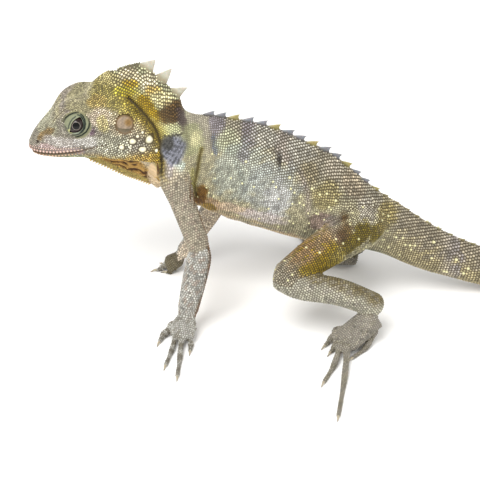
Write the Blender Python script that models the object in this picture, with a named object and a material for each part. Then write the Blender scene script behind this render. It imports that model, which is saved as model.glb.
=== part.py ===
# A life-size Boyd's forest dragon, standing on the floor with its tail laid out behind it.
# The head points along -X, the animal's left side faces -Y and +Z is up.
# Sizes are in millimetres here and become metres when a mesh is made.
# The snout-to-vent length is about 150 mm and the tail about 310 mm.

import math

import bmesh
import bpy
import numpy as np
from mathutils import Vector

MM = 0.001
GAP = 0.3
COLLECTION = "boyds_forest_dragon"

# Skin colours, as linear red, green and blue.
OLIVE_SKIN = (0.30, 0.29, 0.15)
GREY_SKIN = (0.36, 0.35, 0.28)
POUCH_SKIN = (0.55, 0.32, 0.08)
PALE_HORN = (0.50, 0.49, 0.42)
DARK_EYE = (0.03, 0.015, 0.01)
EARDRUM_SKIN = (0.38, 0.27, 0.22)

# Each rib of the trunk, front to back: ridge x and z, belly x and z, half width, and how much
# the upper part narrows to a ridge, from 0 for an ellipse.
TRUNK_RIBS = (
    (-52.5, 98.0, -42.0, 69.0, 6.0, 0.55),
    (-47.8, 101.7, -40.0, 62.0, 8.2, 0.74),
    (-42.6, 103.5, -37.0, 57.5, 9.2, 0.82),
    (-38.0, 104.0, -33.8, 54.2, 9.7, 0.82),
    (-33.4, 99.8, -31.0, 52.0, 10.2, 0.82),
    (-28.7, 95.2, -28.4, 50.2, 10.6, 0.80),
    (-24.2, 90.0, -26.0, 48.4, 11.0, 0.76),
    (-22.0, 84.2, -23.5, 46.6, 11.3, 0.62),
    (-18.0, 82.0, -21.0, 44.6, 11.6, 0.55),
    (-11.5, 81.3, -16.5, 41.6, 12.0, 0.52),
    (-3.5, 79.9, -9.5, 38.1, 12.7, 0.50),
    (7.0, 77.6, 0.0, 34.4, 13.5, 0.50),
    (17.0, 74.2, 10.0, 31.2, 14.0, 0.50),
    (26.5, 69.2, 19.0, 28.2, 14.1, 0.50),
    (35.6, 64.5, 28.0, 25.7, 13.4, 0.50),
    (43.6, 58.0, 36.0, 24.3, 12.4, 0.48),
    (50.6, 51.5, 44.0, 23.0, 11.0, 0.45),
    (57.5, 45.8, 51.5, 21.2, 9.6, 0.42),
    (65.0, 40.6, 59.0, 18.8, 8.5, 0.40),
    (72.5, 34.9, 67.0, 14.8, 7.7, 0.38),
    (80.5, 29.6, 75.5, 11.1, 7.0, 0.36),
    (89.0, 25.0, 85.0, 8.0, 6.4, 0.34),
    (99.0, 20.6, 96.0, 4.6, 6.0, 0.32),
    (110.0, 16.7, 108.5, 1.5, 5.6, 0.30),
    (122.0, 14.0, 121.5, -1.0, 5.3, 0.28),
)
WIDEST_LEVEL = 0.43
BELLY_FULLNESS = 0.12

# The tail beyond the ribs lies on the floor in one long bend.
TAIL_LAID_LENGTH = 232.0
TAIL_TIP_HEIGHT = 1.5
TAIL_TIP_HALF_WIDTH = 0.75
TAIL_BEND = 20.0
# The share of a form's height that is pressed flat where it lies on the floor.
FLATTENED = 0.07

# Rib numbers at which the trunk and the tail are parted.
NECK_END = 6.5
TORSO_END = 17.5
TAIL_CUTS = (17.5, 22.0, 28.0, 34.0, 40.0, 46.0)
CUT_HALF = 0.02
SHELL_LIMIT = 1.4

# The head is worked in its own frame: a runs back from the snout tip, b to the animal's left
# and c up, with the nose pitched down.
SNOUT_TIP = (-83.6, 68.5)
NOSE_DOWN = math.radians(6.0)
# Each section of the head: a, crown c, then b and c of the brow, cheek, lip and jaw edge, throat c.
HEAD_SECTIONS = (
    (0.3, 2.6, 1.2, 2.1, 1.7, 0.8, 1.7, -0.8, 1.2, -1.9, -2.1),
    (2.0, 5.2, 2.3, 4.8, 3.2, 2.4, 3.6, -1.0, 2.9, -2.5, -2.8),
    (5.0, 8.2, 3.5, 8.0, 4.7, 4.0, 5.6, -1.3, 4.8, -2.9, -3.4),
    (10.0, 12.4, 5.2, 12.5, 6.4, 6.0, 7.7, -1.4, 6.7, -3.1, -4.1),
    (15.0, 16.9, 7.2, 18.2, 8.2, 8.0, 9.1, -0.8, 8.0, -3.2, -4.7),
    (21.0, 19.6, 8.6, 20.8, 9.9, 11.5, 10.3, 0.2, 9.2, -3.2, -5.3),
    (27.0, 22.0, 8.0, 20.8, 11.0, 11.5, 11.4, 2.2, 10.4, -3.5, -6.0),
    (33.0, 25.6, 5.6, 20.8, 11.6, 11.5, 12.5, 2.8, 11.5, -4.2, -6.8),
    (40.0, 28.2, 4.2, 21.8, 11.8, 12.0, 13.3, 1.5, 12.0, -5.8, -8.3),
    (46.0, 29.0, 3.4, 21.0, 10.8, 12.0, 12.4, 0.4, 10.6, -7.6, -10.0),
    (49.5, 24.5, 2.4, 17.5, 7.8, 10.5, 9.0, 0.0, 7.6, -6.6, -8.6),
    (51.0, 17.0, 1.2, 13.0, 3.6, 8.6, 4.2, 1.2, 3.6, -3.4, -4.6),
)
REAR_LEAN_START = 24.0
REAR_LEAN = 0.36
LEAN_LEVEL = 8.0
LEAN_SPAN = 20.0

# Eye, ear, nostril and mouth, in the head's frame.
EYE_CENTRE = (21.3, 7.5, 10.9)
EYEBALL_RADIUS = 4.3
LID_RADIUS = 4.3
LID_THICKNESS = 1.15
LID_OUT = 10.4
EAR_CENTRE = (40.2, 11.9, 10.8)
EAR_RADIUS = 3.7
EAR_DEPTH = 0.9
NOSTRIL_CENTRE = (4.0, 4.3, 2.9)
NOSTRIL_RADIUS = 0.6
MOUTH_LINE = ((-3.0, -1.5), (5.0, -1.6), (10.0, -1.5), (15.0, -0.9), (21.0, -0.2), (27.0, 1.8), (33.0, 2.8))
JAW_BACK = ((35.5, -3.0), (36.5, -14.0), (-3.0, -14.0))

# The gular pouch hangs under the throat: x, lower edge z, half width at the throat.
POUCH_SECTIONS = (
    (-63.0, 63.2, 2.2),
    (-59.4, 61.4, 3.6),
    (-53.0, 58.2, 4.8),
    (-47.0, 55.0, 5.6),
    (-42.0, 53.0, 6.2),
    (-36.3, 50.6, 6.6),
    (-33.4, 48.4, 6.4),
    (-31.0, 50.0, 5.2),
)
POUCH_TOP = 71.0
POUCH_EDGE_HALF = 1.0
POUCH_SPINES = 12
POUCH_SPINE_HEIGHT = 1.2

# The three tall plates of the nuchal crest: front base x and z, rear base x and z, tip x and z.
NUCHAL_PLATES = (
    (-39.4, 103.6, -34.0, 100.0, -32.8, 105.3),
    (-32.6, 98.9, -28.8, 95.2, -26.5, 101.6),
    (-27.2, 93.0, -23.6, 89.4, -20.6, 93.5),
)
NUCHAL_PLATE_HALF = 0.9

# The dorsal crest: spines stand one behind another along the ridge, by rib number and height.
FIRST_SPINE_RIB = 8.9
FIRST_SPINE_STEP = 4.3
SPINE_STEP = 5.5
SPINE_STEP_CHANGE = 0.35
SPINE_BASE = 5.0
SPINE_HALF_WIDTH = 0.8
SPINE_LEAN = 2.3
FULL_SPINE = 2.5
SPINE_HEIGHTS = ((8.9, 2.3), (10.0, 2.5), (14.0, 2.7), (16.0, 1.8),
                 (17.5, 0.8), (19.5, 1.1), (25.0, 0.9), (34.0, 0.5))
SPINE_END_RIB = 34.0
SPINE_SINK = 1.3

# Each limb is a tube through points of x, y, z and radius.
UPPER_ARM = {
    "left": ((-25.6, -3.5, 66.0, 6.0), (-26.0, -10.2, 60.0, 6.4),
             (-22.4, -16.2, 50.4, 4.9), (-16.2, -26.8, 37.8, 4.4)),
    "right": ((-25.6, 3.5, 66.0, 6.0), (-24.5, 10.2, 60.5, 6.2),
              (-17.0, 15.0, 47.5, 5.0), (-9.2, 20.2, 34.6, 4.2)),
}
FOREARM = {
    "left": ((-15.8, -27.8, 37.0, 4.3), (-16.4, -29.0, 31.6, 4.8),
             (-18.5, -30.8, 21.8, 4.6), (-20.8, -32.6, 11.0, 4.0)),
    "right": ((-9.6, 20.0, 34.0, 4.1), (-12.2, 19.2, 27.0, 4.5),
              (-18.6, 17.2, 16.6, 3.6), (-24.0, 15.6, 9.0, 3.0)),
}
THIGH = {
    "left": ((55.0, -3.5, 34.5, 6.0), (50.0, -9.0, 36.0, 8.4),
             (33.5, -23.0, 33.4, 7.6), (18.2, -33.4, 27.6, 5.8)),
    "right": ((55.0, 3.5, 34.5, 6.0), (50.0, 9.0, 36.0, 8.2),
              (34.5, 23.0, 33.4, 7.2), (21.0, 32.5, 27.0, 5.4)),
}
SHIN = {
    "left": ((17.4, -34.0, 26.8, 5.4), (24.4, -34.6, 23.8, 5.6),
             (39.0, -35.2, 21.2, 5.3), (52.6, -35.2, 15.4, 4.8)),
    "right": ((20.6, 32.4, 26.2, 5.0), (28.0, 30.2, 22.6, 5.2),
              (39.6, 25.0, 16.2, 4.4), (50.0, 19.8, 9.4, 3.9)),
}

# A hand or foot: its root, the middle of its knuckles, half widths and half heights at both, how
# high the digits rise at the knuckle and half way, and each digit as knuckle x and y, middle x
# and y, tip x and y, with its root radius.
HANDS = {
    "left": {
        "root": (-21.4, -33.0, 8.4), "knuckles": (-23.0, -39.0, 3.1),
        "half_width": (4.3, 4.9), "half_height": (3.3, 3.3),
        "rise": (2.2, 0.0),
        "digits": (
            ((-26.8, -33.6), (-30.4, -35.4), (-32.0, -39.6), 1.9),
            ((-25.6, -38.6), (-27.0, -46.2), (-29.0, -55.8), 1.15),
            ((-23.2, -40.0), (-23.6, -50.6), (-24.2, -63.0), 1.25),
            ((-20.0, -38.8), (-19.5, -42.8), (-19.7, -45.8), 1.25),
            ((-19.0, -34.6), (-18.6, -31.0), (-19.4, -27.8), 1.15),
        ),
    },
    "right": {
        "root": (-24.8, 15.0, 6.6), "knuckles": (-29.6, 15.6, 3.0),
        "half_width": (3.4, 4.3), "half_height": (3.0, 3.4),
        "rise": (1.6, 0.6),
        "digits": (
            ((-28.4, 12.4), (-29.6, 12.1), (-30.6, 12.3), 1.4),
            ((-31.6, 14.8), (-33.5, 14.7), (-35.0, 14.3), 1.25),
            ((-31.2, 16.2), (-32.2, 17.0), (-32.8, 17.9), 1.15),
            ((-30.2, 17.6), (-30.8, 18.8), (-31.2, 19.9), 1.15),
            ((-28.4, 18.6), (-28.7, 20.0), (-28.9, 21.2), 1.15),
        ),
    },
}
FEET = {
    "left": {
        "root": (53.4, -36.0, 10.4), "knuckles": (41.8, -43.0, 3.4),
        "half_width": (5.2, 6.6), "half_height": (5.0, 3.6),
        "rise": (2.6, 0.5),
        "digits": (
            ((39.0, -37.4), (36.2, -39.2), (34.0, -42.2), 1.7),
            ((38.6, -42.4), (37.2, -44.8), (36.0, -46.8), 1.35),
            ((39.6, -46.6), (36.8, -56.2), (32.4, -67.0), 1.4),
            ((42.2, -48.4), (40.4, -64.4), (36.8, -88.6), 1.45),
            ((53.4, -37.4), (50.2, -44.0), (44.4, -50.8), 1.5),
        ),
    },
    "right": {
        "root": (49.8, 19.0, 5.2), "knuckles": (38.6, 23.0, 3.0),
        "half_width": (4.2, 6.2), "half_height": (4.4, 3.4),
        "rise": (1.8, 0.5),
        "digits": (
            ((36.8, 18.6), (32.4, 18.0), (28.6, 19.4), 1.5),
            ((34.8, 22.6), (30.0, 26.6), (26.6, 32.4), 1.3),
            ((35.8, 26.4), (30.0, 34.8), (25.4, 45.6), 1.35),
            ((38.6, 28.6), (34.6, 43.0), (29.6, 62.4), 1.45),
            ((47.6, 24.4), (48.2, 32.2), (48.0, 40.4), 1.4),
        ),
    },
}
DIGIT_TIP_RADIUS = 0.75
# A digit comes down to the floor at this share of its length, its middle this many radii up.
DIGIT_DOWN = 0.6
DIGIT_LEVEL = 0.8
KNUCKLE_SWELL = 0.14
CLAW_LENGTH = 2.6
CLAW_ROOT_RADIUS = 0.58
CLAW_TIP_RADIUS = 0.16

# Points round and along each form.
TRUNK_AROUND = 26
TAIL_AROUND = 14
HEAD_RINGS = 21
HEAD_BETWEEN = 3
LIMB_AROUND = 12
LIMB_RINGS = 8
PALM_RINGS = 6
DIGIT_AROUND = 8
DIGIT_RINGS = 9
# How far each ring of a rounded end stands out and how wide it is, in shares of the tube's radius.
END_ROUNDING = ((0.5, 0.85), (0.86, 0.5))


def spline(rows, count):
    """Catmull-Rom curve through rows of numbers, sampled at count places."""
    return spline_at(rows, np.linspace(0.0, len(rows) - 1.0, count))


def spline_at(rows, places):
    """Catmull-Rom curve through rows of numbers, at places counted in rows."""
    rows = np.asarray(rows, float)
    padded = np.vstack([2 * rows[0] - rows[1], rows, 2 * rows[-1] - rows[-2]])
    places = np.clip(np.asarray(places, float), 0.0, len(rows) - 1.0)
    index = np.minimum(places.astype(int), len(rows) - 2)
    t = (places - index)[:, None]
    before, start, end, after = (padded[index + k] for k in range(4))
    return 0.5 * (
        2 * start
        + (end - before) * t
        + (2 * before - 5 * start + 4 * end - after) * t**2
        + (3 * start - before - 3 * end + after) * t**3
    )


def new_object(name, points, faces):
    """A mesh object made from points in millimetres, with its faces turned outwards."""
    mesh = bpy.data.meshes.new(name)
    mesh.from_pydata([tuple(p) for p in np.asarray(points) * MM], [], faces)
    made = bpy.data.objects.new(name, mesh)
    bpy.context.scene.collection.objects.link(made)
    work = bmesh.new()
    work.from_mesh(mesh)
    bmesh.ops.recalc_face_normals(work, faces=work.faces)
    work.to_mesh(mesh)
    work.free()
    return made


def loft(name, rings):
    """A closed body through rings of points, all with the same count, with a flat cap at each end."""
    rings = np.asarray(rings, float)
    count, around = rings.shape[:2]
    faces = []
    for i in range(count - 1):
        for j in range(around):
            k = (j + 1) % around
            faces.append((i * around + j, i * around + k, (i + 1) * around + k, (i + 1) * around + j))
    faces.append(tuple(range(around))[::-1])
    faces.append(tuple((count - 1) * around + j for j in range(around)))
    return new_object(name, rings.reshape(-1, 3), faces)


def rib_rings(places, around):
    """Rings of the trunk at the given rib numbers: an ellipse between ridge and belly, narrowed above."""
    ribs = spline_at(ALL_RIBS, places)
    angle = np.linspace(0.0, 2 * math.pi, around, endpoint=False)
    cosine, sine = np.cos(angle), np.sin(angle)
    above = np.maximum(cosine, 0.0)
    below = np.maximum(-cosine, 0.0)
    rings = []
    for ridge_x, ridge_z, belly_x, belly_z, half, narrow, side, heading in ribs:
        ridge, belly = np.array([ridge_x, ridge_z]), np.array([belly_x, belly_z])
        widest = belly + WIDEST_LEVEL * (ridge - belly)
        up = np.where(cosine > 0, cosine, 0)[:, None] * (ridge - widest)
        down = np.where(cosine < 0, -cosine, 0)[:, None] * (belly - widest)
        across = half * sine * (1 - narrow * above**1.5) * (1 + BELLY_FULLNESS * np.sin(math.pi * below))
        flat = widest + up + down
        x = flat[:, 0] + across * math.sin(heading)
        y = side + across * math.cos(heading)
        rings.append(np.column_stack([x, y, np.maximum(flat[:, 1], 0.0)]))
    return np.array(rings)


def laid_tail_ribs():
    """Ribs of the stretch of tail on the floor, tapering along one long bend."""
    last = TRUNK_RIBS[-1]
    count = 22
    rows = []
    for i in range(1, count + 1):
        t = i / count
        length = TAIL_LAID_LENGTH * t
        taper = (1 - t) ** 0.85
        height = TAIL_TIP_HEIGHT + (last[1] - TAIL_TIP_HEIGHT) * taper
        half = TAIL_TIP_HALF_WIDTH + (last[4] - TAIL_TIP_HALF_WIDTH) * taper
        side = tail_side(t)
        x = last[0] + length * (1 - 0.02 * t)
        slope = (tail_side(t + 0.001) - tail_side(t - 0.001)) / (0.002 * TAIL_LAID_LENGTH)
        rows.append((x, height, x, -FLATTENED * height, half, last[5], side, -math.atan(slope)))
    return rows


def tail_side(t):
    """How far the laid tail swings sideways: nothing at first, then to the animal's right and back."""
    return TAIL_BEND * (0.5 - 0.5 * math.cos(math.pi * max(t, 0.0) * 1.25))


ALL_RIBS = [(*rib, 0.0, 0.0) for rib in TRUNK_RIBS] + laid_tail_ribs()


def head_point(a, b, c):
    """A point of the head's frame, in the animal's frame."""
    a, b, c = (np.asarray(v, float) for v in (a, b, c))
    x = SNOUT_TIP[0] + a * math.cos(NOSE_DOWN) - c * math.sin(NOSE_DOWN)
    z = SNOUT_TIP[1] + a * math.sin(NOSE_DOWN) + c * math.cos(NOSE_DOWN)
    return np.stack(np.broadcast_arrays(x, -b, z), axis=-1)


def head_rings():
    """Rings of the head: a smooth closed curve through crown, brow, cheek, lip, jaw and throat."""
    sections = spline(HEAD_SECTIONS, HEAD_RINGS)
    rings = []
    for a, crown, brow_b, brow_c, cheek_b, cheek_c, lip_b, lip_c, jaw_b, jaw_c, throat in sections:
        half = [(brow_b, brow_c), (cheek_b, cheek_c), (lip_b, lip_c), (jaw_b, jaw_c)]
        loop = [(0.0, crown), *half, (0.0, throat)] + [(-b, c) for b, c in reversed(half)]
        closed = np.array(loop[-1:] + loop + loop[:2])
        places = np.arange(1, len(loop) + 1, 1 / HEAD_BETWEEN)
        outline = spline_at(closed, places)
        lean = REAR_LEAN * max(a - REAR_LEAN_START, 0.0)
        back = a + lean * (LEAN_LEVEL - outline[:, 1]) / LEAN_SPAN
        rings.append(head_point(back, outline[:, 0], outline[:, 1]))
    return np.array(rings)


def tube_rings(stations, around, count, flatten=None, round_ends=(False, False)):
    """Rings along a curve through stations of x, y, z and radius, kept above the floor."""
    row = spline(stations, count)
    centre, radius = row[:, :3], row[:, 3]
    tangent = np.gradient(centre, axis=0)
    tangent /= np.linalg.norm(tangent, axis=1)[:, None]
    wide, tall = (radius, radius) if flatten is None else spline(flatten, count).T
    for place, sign in ((0, -1.0), (-1, 1.0)):
        if not round_ends[place]:
            continue
        root, reach, way = centre[place], radius[place], tangent[place]
        for ahead, share in END_ROUNDING:
            at = 0 if place == 0 else len(centre)
            centre = np.insert(centre, at, root + sign * way * ahead * reach, axis=0)
            tangent = np.insert(tangent, at, way, axis=0)
            wide = np.insert(wide, at, share * reach)
            tall = np.insert(tall, at, share * reach)
    side = np.cross(tangent[0], (0.0, 0.0, 1.0))
    sides = []
    for way in tangent:
        side = side - way * (side @ way)
        side /= np.linalg.norm(side)
        sides.append(side)
    side = np.array(sides)
    up = np.cross(side, tangent)
    angle = (np.arange(around) + 0.5) * 2 * math.pi / around
    rings = (
        centre[:, None]
        + side[:, None] * (np.cos(angle) * wide[:, None])[..., None]
        + up[:, None] * (np.sin(angle) * tall[:, None])[..., None]
    )
    rings[..., 2] = np.maximum(rings[..., 2], 0.0)
    return rings


def ball(name, centre, radius, segments, rings):
    """A sphere at a point in millimetres."""
    bpy.ops.mesh.primitive_uv_sphere_add(
        segments=segments, ring_count=rings, radius=radius * MM, location=Vector(centre) * MM
    )
    made = bpy.context.active_object
    made.name = name
    bake_place(made)
    return made


def bake_place(made):
    """Move an object's place into its mesh."""
    made.data.transform(made.matrix_basis)
    made.matrix_basis.identity()


def copy_of(source, name):
    """A copy of an object with a mesh of its own."""
    made = source.copy()
    made.data = source.data.copy()
    made.name = name
    bpy.context.scene.collection.objects.link(made)
    return made


def grown(source, by=GAP):
    """A cutter: a copy of a body with its surface moved outwards."""
    made = copy_of(source, source.name + "_grown")
    work = bmesh.new()
    work.from_mesh(made.data)
    bmesh.ops.recalc_face_normals(work, faces=work.faces)
    work.normal_update()
    moved = [(v, v.co + v.normal * min(v.calc_shell_factor(), SHELL_LIMIT) * by * MM) for v in work.verts]
    for vertex, place in moved:
        vertex.co = place
    work.to_mesh(made.data)
    work.free()
    return made


def apply_boolean(target, operation, helpers):
    """Join, cut or keep the common part, then remove the helper objects."""
    group = bpy.data.collections.new("helpers")
    bpy.context.scene.collection.children.link(group)
    for helper in helpers:
        for owner in list(helper.users_collection):
            owner.objects.unlink(helper)
        group.objects.link(helper)
    change = target.modifiers.new("boolean", "BOOLEAN")
    change.operation = operation
    change.operand_type = "COLLECTION"
    change.collection = group
    change.solver = "MANIFOLD" if operation == "UNION" else "EXACT"
    bpy.context.view_layer.update()
    mesh = bpy.data.meshes.new_from_object(target.evaluated_get(bpy.context.evaluated_depsgraph_get()))
    target.modifiers.clear()
    target.data = mesh
    for helper in helpers:
        bpy.data.objects.remove(helper)
    bpy.data.collections.remove(group)
    keep_largest(target)
    return target


def join(target, pieces):
    return apply_boolean(target, "UNION", pieces) if pieces else target


def cut(target, cutters):
    for cutter in cutters:
        apply_boolean(target, "DIFFERENCE", [cutter])
    return target


def keep_largest(target):
    """Drop every surface but the largest, and merge points that coincide."""
    work = bmesh.new()
    work.from_mesh(target.data)
    bmesh.ops.remove_doubles(work, verts=work.verts, dist=0.002 * MM)
    bmesh.ops.dissolve_degenerate(work, edges=work.edges, dist=0.002 * MM)
    left = set(work.verts)
    groups = []
    while left:
        group, queue = set(), [left.pop()]
        while queue:
            vertex = queue.pop()
            group.add(vertex)
            for edge in vertex.link_edges:
                other = edge.other_vert(vertex)
                if other in left:
                    left.discard(other)
                    queue.append(other)
        groups.append(group)
    groups.sort(key=len)
    for group in groups[:-1]:
        bmesh.ops.delete(work, geom=list(group), context="VERTS")
    work.to_mesh(target.data)
    work.free()


def spine(name, base, along, up, length, height, half_width, lean, sink=SPINE_SINK):
    """A blade-like spine: a diamond root sunk in the ridge, a narrower middle and a backward tip."""
    base, along, up = (np.asarray(v, float) for v in (base, along, up))
    side = np.cross(along, up)
    points = []
    for rise, share, shift, width in ((-sink, 0.5, 0.0, 1.0), (height * 0.45, 0.33, lean * 0.55, 0.62)):
        middle = base + up * rise + along * shift
        points += [
            middle - along * length * share,
            middle + side * half_width * width,
            middle + along * length * share,
            middle - side * half_width * width,
        ]
    points.append(base + up * height + along * lean)
    faces = [(3, 2, 1, 0)]
    for j in range(4):
        k = (j + 1) % 4
        faces += [(j, k, k + 4, j + 4), (j + 4, k + 4, 8)]
    return new_object(name, points, faces)


def plate(name, front, rear, tip, half_width):
    """A tall crest plate: a triangle in the middle plane, thick at its sunk root."""
    front, rear, tip = (np.array([p[0], 0.0, p[1]]) for p in (front, rear, tip))
    along = (rear - front) / np.linalg.norm(rear - front)
    middle = (front + rear) / 2
    up = tip - middle
    up -= along * (up @ along)
    height = np.linalg.norm(up)
    lean = (tip - middle) @ along
    return spine(name, middle, along, up / height, np.linalg.norm(rear - front),
                 height, half_width, lean, 2.2)


def ridge_walk():
    """Places of the dorsal spines: rib number, ridge point, way along the ridge, and height."""
    places = np.linspace(FIRST_SPINE_RIB, SPINE_END_RIB, 1200)
    ridge = rib_rings(places, 4)[:, 0]
    run = np.concatenate([[0.0], np.cumsum(np.linalg.norm(np.diff(ridge, axis=0), axis=1))])
    known_rib, known_height = np.array(SPINE_HEIGHTS).T
    walk, stop = [], 0.0
    while stop < run[-1]:
        behind, point, ahead = (np.array([np.interp(stop + d, run, ridge[:, k]) for k in range(3)])
                                for d in (-1, 0, 1))
        along = (ahead - behind) / np.linalg.norm(ahead - behind)
        rib = float(np.interp(stop, run, places))
        walk.append((rib, point, along, float(np.interp(rib, known_rib, known_height))))
        step = SPINE_STEP if len(walk) > 1 else FIRST_SPINE_STEP
        stop += step + SPINE_STEP_CHANGE * math.sin(2.4 * len(walk))
    return walk


def dorsal_spines(start, end):
    """The spines that stand on the ridge between two rib numbers, clear of both cuts."""
    made = []
    for rib, point, along, height in ridge_walk():
        if min(rib - start, end - rib) < 0.3:
            continue
        up = np.array([0.0, 0.0, 1.0])
        up -= along * (up @ along)
        up /= np.linalg.norm(up)
        scale = 0.45 + 0.55 * height / FULL_SPINE
        sink = min(SPINE_SINK, 0.35 * point[2])
        length, half, lean = SPINE_BASE * scale, SPINE_HALF_WIDTH * scale, SPINE_LEAN * scale
        made.append(spine("spine", point, along, up, length, height, half, lean, sink))
    return made


def trunk_piece(name, start, end, around):
    """A length of the trunk or tail between two rib numbers, short of each cut."""
    count = max(4, round((end - start) * (2.0 if around == TRUNK_AROUND else 1.3)) + 1)
    return loft(name, rib_rings(np.linspace(start + CUT_HALF, end - CUT_HALF, count), around))


def mouth_cutter(grow):
    """A block whose upper face follows the mouth line, in front of the jaw's hinge."""
    outline = [(a, c + grow) for a, c in MOUTH_LINE] + [(a + grow, c) for a, c in JAW_BACK]
    points = [head_point(a, b, c) for b in (-20.0, 20.0) for a, c in outline]
    count = len(outline)
    faces = [tuple(range(count)), tuple(range(2 * count - 1, count - 1, -1))]
    faces += [(j, (j + 1) % count, count + (j + 1) % count, count + j) for j in range(count)]
    return new_object("mouth_cutter", points, faces)


def side_ring(name, centre, radius, thickness, out):
    """A ring lying on the side of the head, facing out."""
    bpy.ops.mesh.primitive_torus_add(
        major_segments=16, minor_segments=6, major_radius=radius * MM, minor_radius=thickness * MM
    )
    made = bpy.context.active_object
    made.name = name
    side = math.copysign(1.0, centre[1])
    made.rotation_euler = (math.radians(90.0), NOSE_DOWN, math.radians(-7.0) * side)
    made.location = Vector(head_point(centre[0], out * side, centre[2])) * MM
    bpy.context.view_layer.update()
    bake_place(made)
    return made


def make_head():
    """Head, lower jaw, eyes and eardrums."""
    head = loft("head", head_rings())
    whole = copy_of(head, "head_whole")
    whole.hide_render = True
    sides = (("left", 1.0), ("right", -1.0))
    a, b, c = EYE_CENTRE
    join(head, [side_ring("lid", (a, b * side, c), LID_RADIUS, LID_THICKNESS, LID_OUT) for _, side in sides])
    made = []
    for word, side in sides:
        centre = head_point(a, b * side, c)
        cut(head, [ball("socket", centre, EYEBALL_RADIUS + GAP, 16, 10)])
        eye = ball("eye_" + word, centre, EYEBALL_RADIUS, 14, 8)
        made.append(eye)
        ear_centre = head_point(EAR_CENTRE[0], EAR_CENTRE[1] * side, EAR_CENTRE[2])
        for name, grow in (("ear_recess", GAP), ("ear_" + word, 0.0)):
            lens = ball(name, (0.0, 0.0, 0.0), EAR_RADIUS + grow, 12, 6)
            lens.scale = (1.0, (EAR_DEPTH + grow) / (EAR_RADIUS + grow), 1.0)
            lens.location = Vector(ear_centre) * MM
            bpy.context.view_layer.update()
            bake_place(lens)
            if grow:
                cut(head, [lens])
            else:
                made.append(lens)
        nostril = head_point(NOSTRIL_CENTRE[0], NOSTRIL_CENTRE[1] * side, NOSTRIL_CENTRE[2])
        cut(head, [ball("nostril", nostril, NOSTRIL_RADIUS, 10, 6)])
    jaw = copy_of(head, "lower_jaw")
    apply_boolean(jaw, "INTERSECT", [mouth_cutter(0.0)])
    cut(head, [mouth_cutter(GAP)])
    return head, jaw, whole, made


def make_pouch(cutters):
    """The gular pouch: a wedge of skin under the throat with a saw-toothed front edge."""
    rows = spline(POUCH_SECTIONS, 15)
    rings = []
    for x, low, half in rows:
        outline = []
        for share, width in ((0.0, 0.0), (0.02, 0.75), (0.12, 1.0), (0.45, 0.0), (1.0, 0.0)):
            y = POUCH_EDGE_HALF * width if width else POUCH_EDGE_HALF + (half - POUCH_EDGE_HALF) * share
            y = 0.0 if share == 0.0 else y
            outline.append((y, low + share * (POUCH_TOP - low)))
        loop = outline + [(-y, z) for y, z in reversed(outline[1:])]
        rings.append([(x, y, z) for y, z in loop])
    pouch = loft("gular_pouch", rings)
    edge = spline(POUCH_SECTIONS[1:6], POUCH_SPINES)
    for x, low, _ in edge:
        slope = np.array([0.87, 0.0, -0.49])
        down = np.array([-0.49, 0.0, -0.87])
        join(pouch, [spine("tooth", (x, 0.0, low + 0.3), slope, down,
                           1.7, POUCH_SPINE_HEIGHT + 0.3, 0.6, -0.5, 1.0)])
    return cut(pouch, cutters)


def limb_tube(name, stations):
    return loft(name, tube_rings(stations, LIMB_AROUND, LIMB_RINGS, round_ends=(True, True)))


def digit_stations(digit, rise):
    """Centre line and radius of a digit, arched over its joints and flat on the floor at its tip."""
    knuckle, middle, tip, radius = digit
    places = spline((knuckle, middle, tip), 9)
    rows = []
    for i, (x, y) in enumerate(places):
        t = i / (len(places) - 1)
        thick = radius + (DIGIT_TIP_RADIUS - radius) * t
        thick *= 1 + KNUCKLE_SWELL * math.cos(4 * math.pi * t) * (1 - 0.5 * t)
        up = min(t / DIGIT_DOWN, 1.0)
        lift = rise[0] * (1 - up) ** 1.5 + rise[1] * math.sin(math.pi * up)
        rows.append((x, y, DIGIT_LEVEL * thick + lift, thick))
    return rows


def make_paw(name, paw, cutters):
    """A hand or foot: a flat palm with five digits fused to it, and a claw at each tip."""
    root, knuckles = np.array(paw["root"]), np.array(paw["knuckles"])
    steps = (0.0, 0.35, 0.7, 1.0, 1.18)
    stations = [(*(root + (knuckles - root) * t), 1.0) for t in steps]
    wide_root, wide_end = paw["half_width"]
    tall_root, tall_end = paw["half_height"]
    flatten = [
        (wide_root + (wide_end - wide_root) * min(t, 1.0), tall_root + (tall_end - tall_root) * min(t, 1.0))
        for t in steps[:-1]
    ]
    flatten.append((wide_end * 0.72, tall_end * 0.7))
    palm = loft(name, tube_rings(stations, LIMB_AROUND, PALM_RINGS, flatten))
    claws = []
    fingers = []
    for number, digit in enumerate(paw["digits"], start=1):
        stations = digit_stations(digit, paw["rise"])
        middle = root[:2] * 0.4 + np.array(digit[0]) * 0.6
        inward = np.array([*middle, stations[0][2], digit[3]])
        rings = tube_rings([inward, *stations], DIGIT_AROUND, DIGIT_RINGS, round_ends=(False, True))
        fingers.append(loft("digit", rings))
        end, before = np.array(stations[-1]), np.array(stations[-2])
        ahead = end[:3] - before[:3]
        ahead /= np.linalg.norm(ahead)
        clear = end[:3] + ahead * (end[3] * END_ROUNDING[-1][0] + GAP)
        claws.append(make_claw(f"claw_{name}_{number}", clear, ahead))
    join(palm, fingers)
    return cut(palm, cutters), claws


def make_claw(name, root, ahead):
    """A claw: a short curved cone whose tip comes down to the floor."""
    rows = []
    for t in (0.0, 0.4, 0.75, 1.0):
        place = root + ahead * CLAW_LENGTH * t
        radius = CLAW_ROOT_RADIUS + (CLAW_TIP_RADIUS - CLAW_ROOT_RADIUS) * t
        lift = root[2] + 0.25 * math.sin(math.pi * min(t * 1.4, 1.0)) - (root[2] - CLAW_TIP_RADIUS) * t * t
        rows.append((place[0], place[1], max(lift, radius), radius))
    return loft(name, tube_rings(rows, 6, len(rows)))


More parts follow.
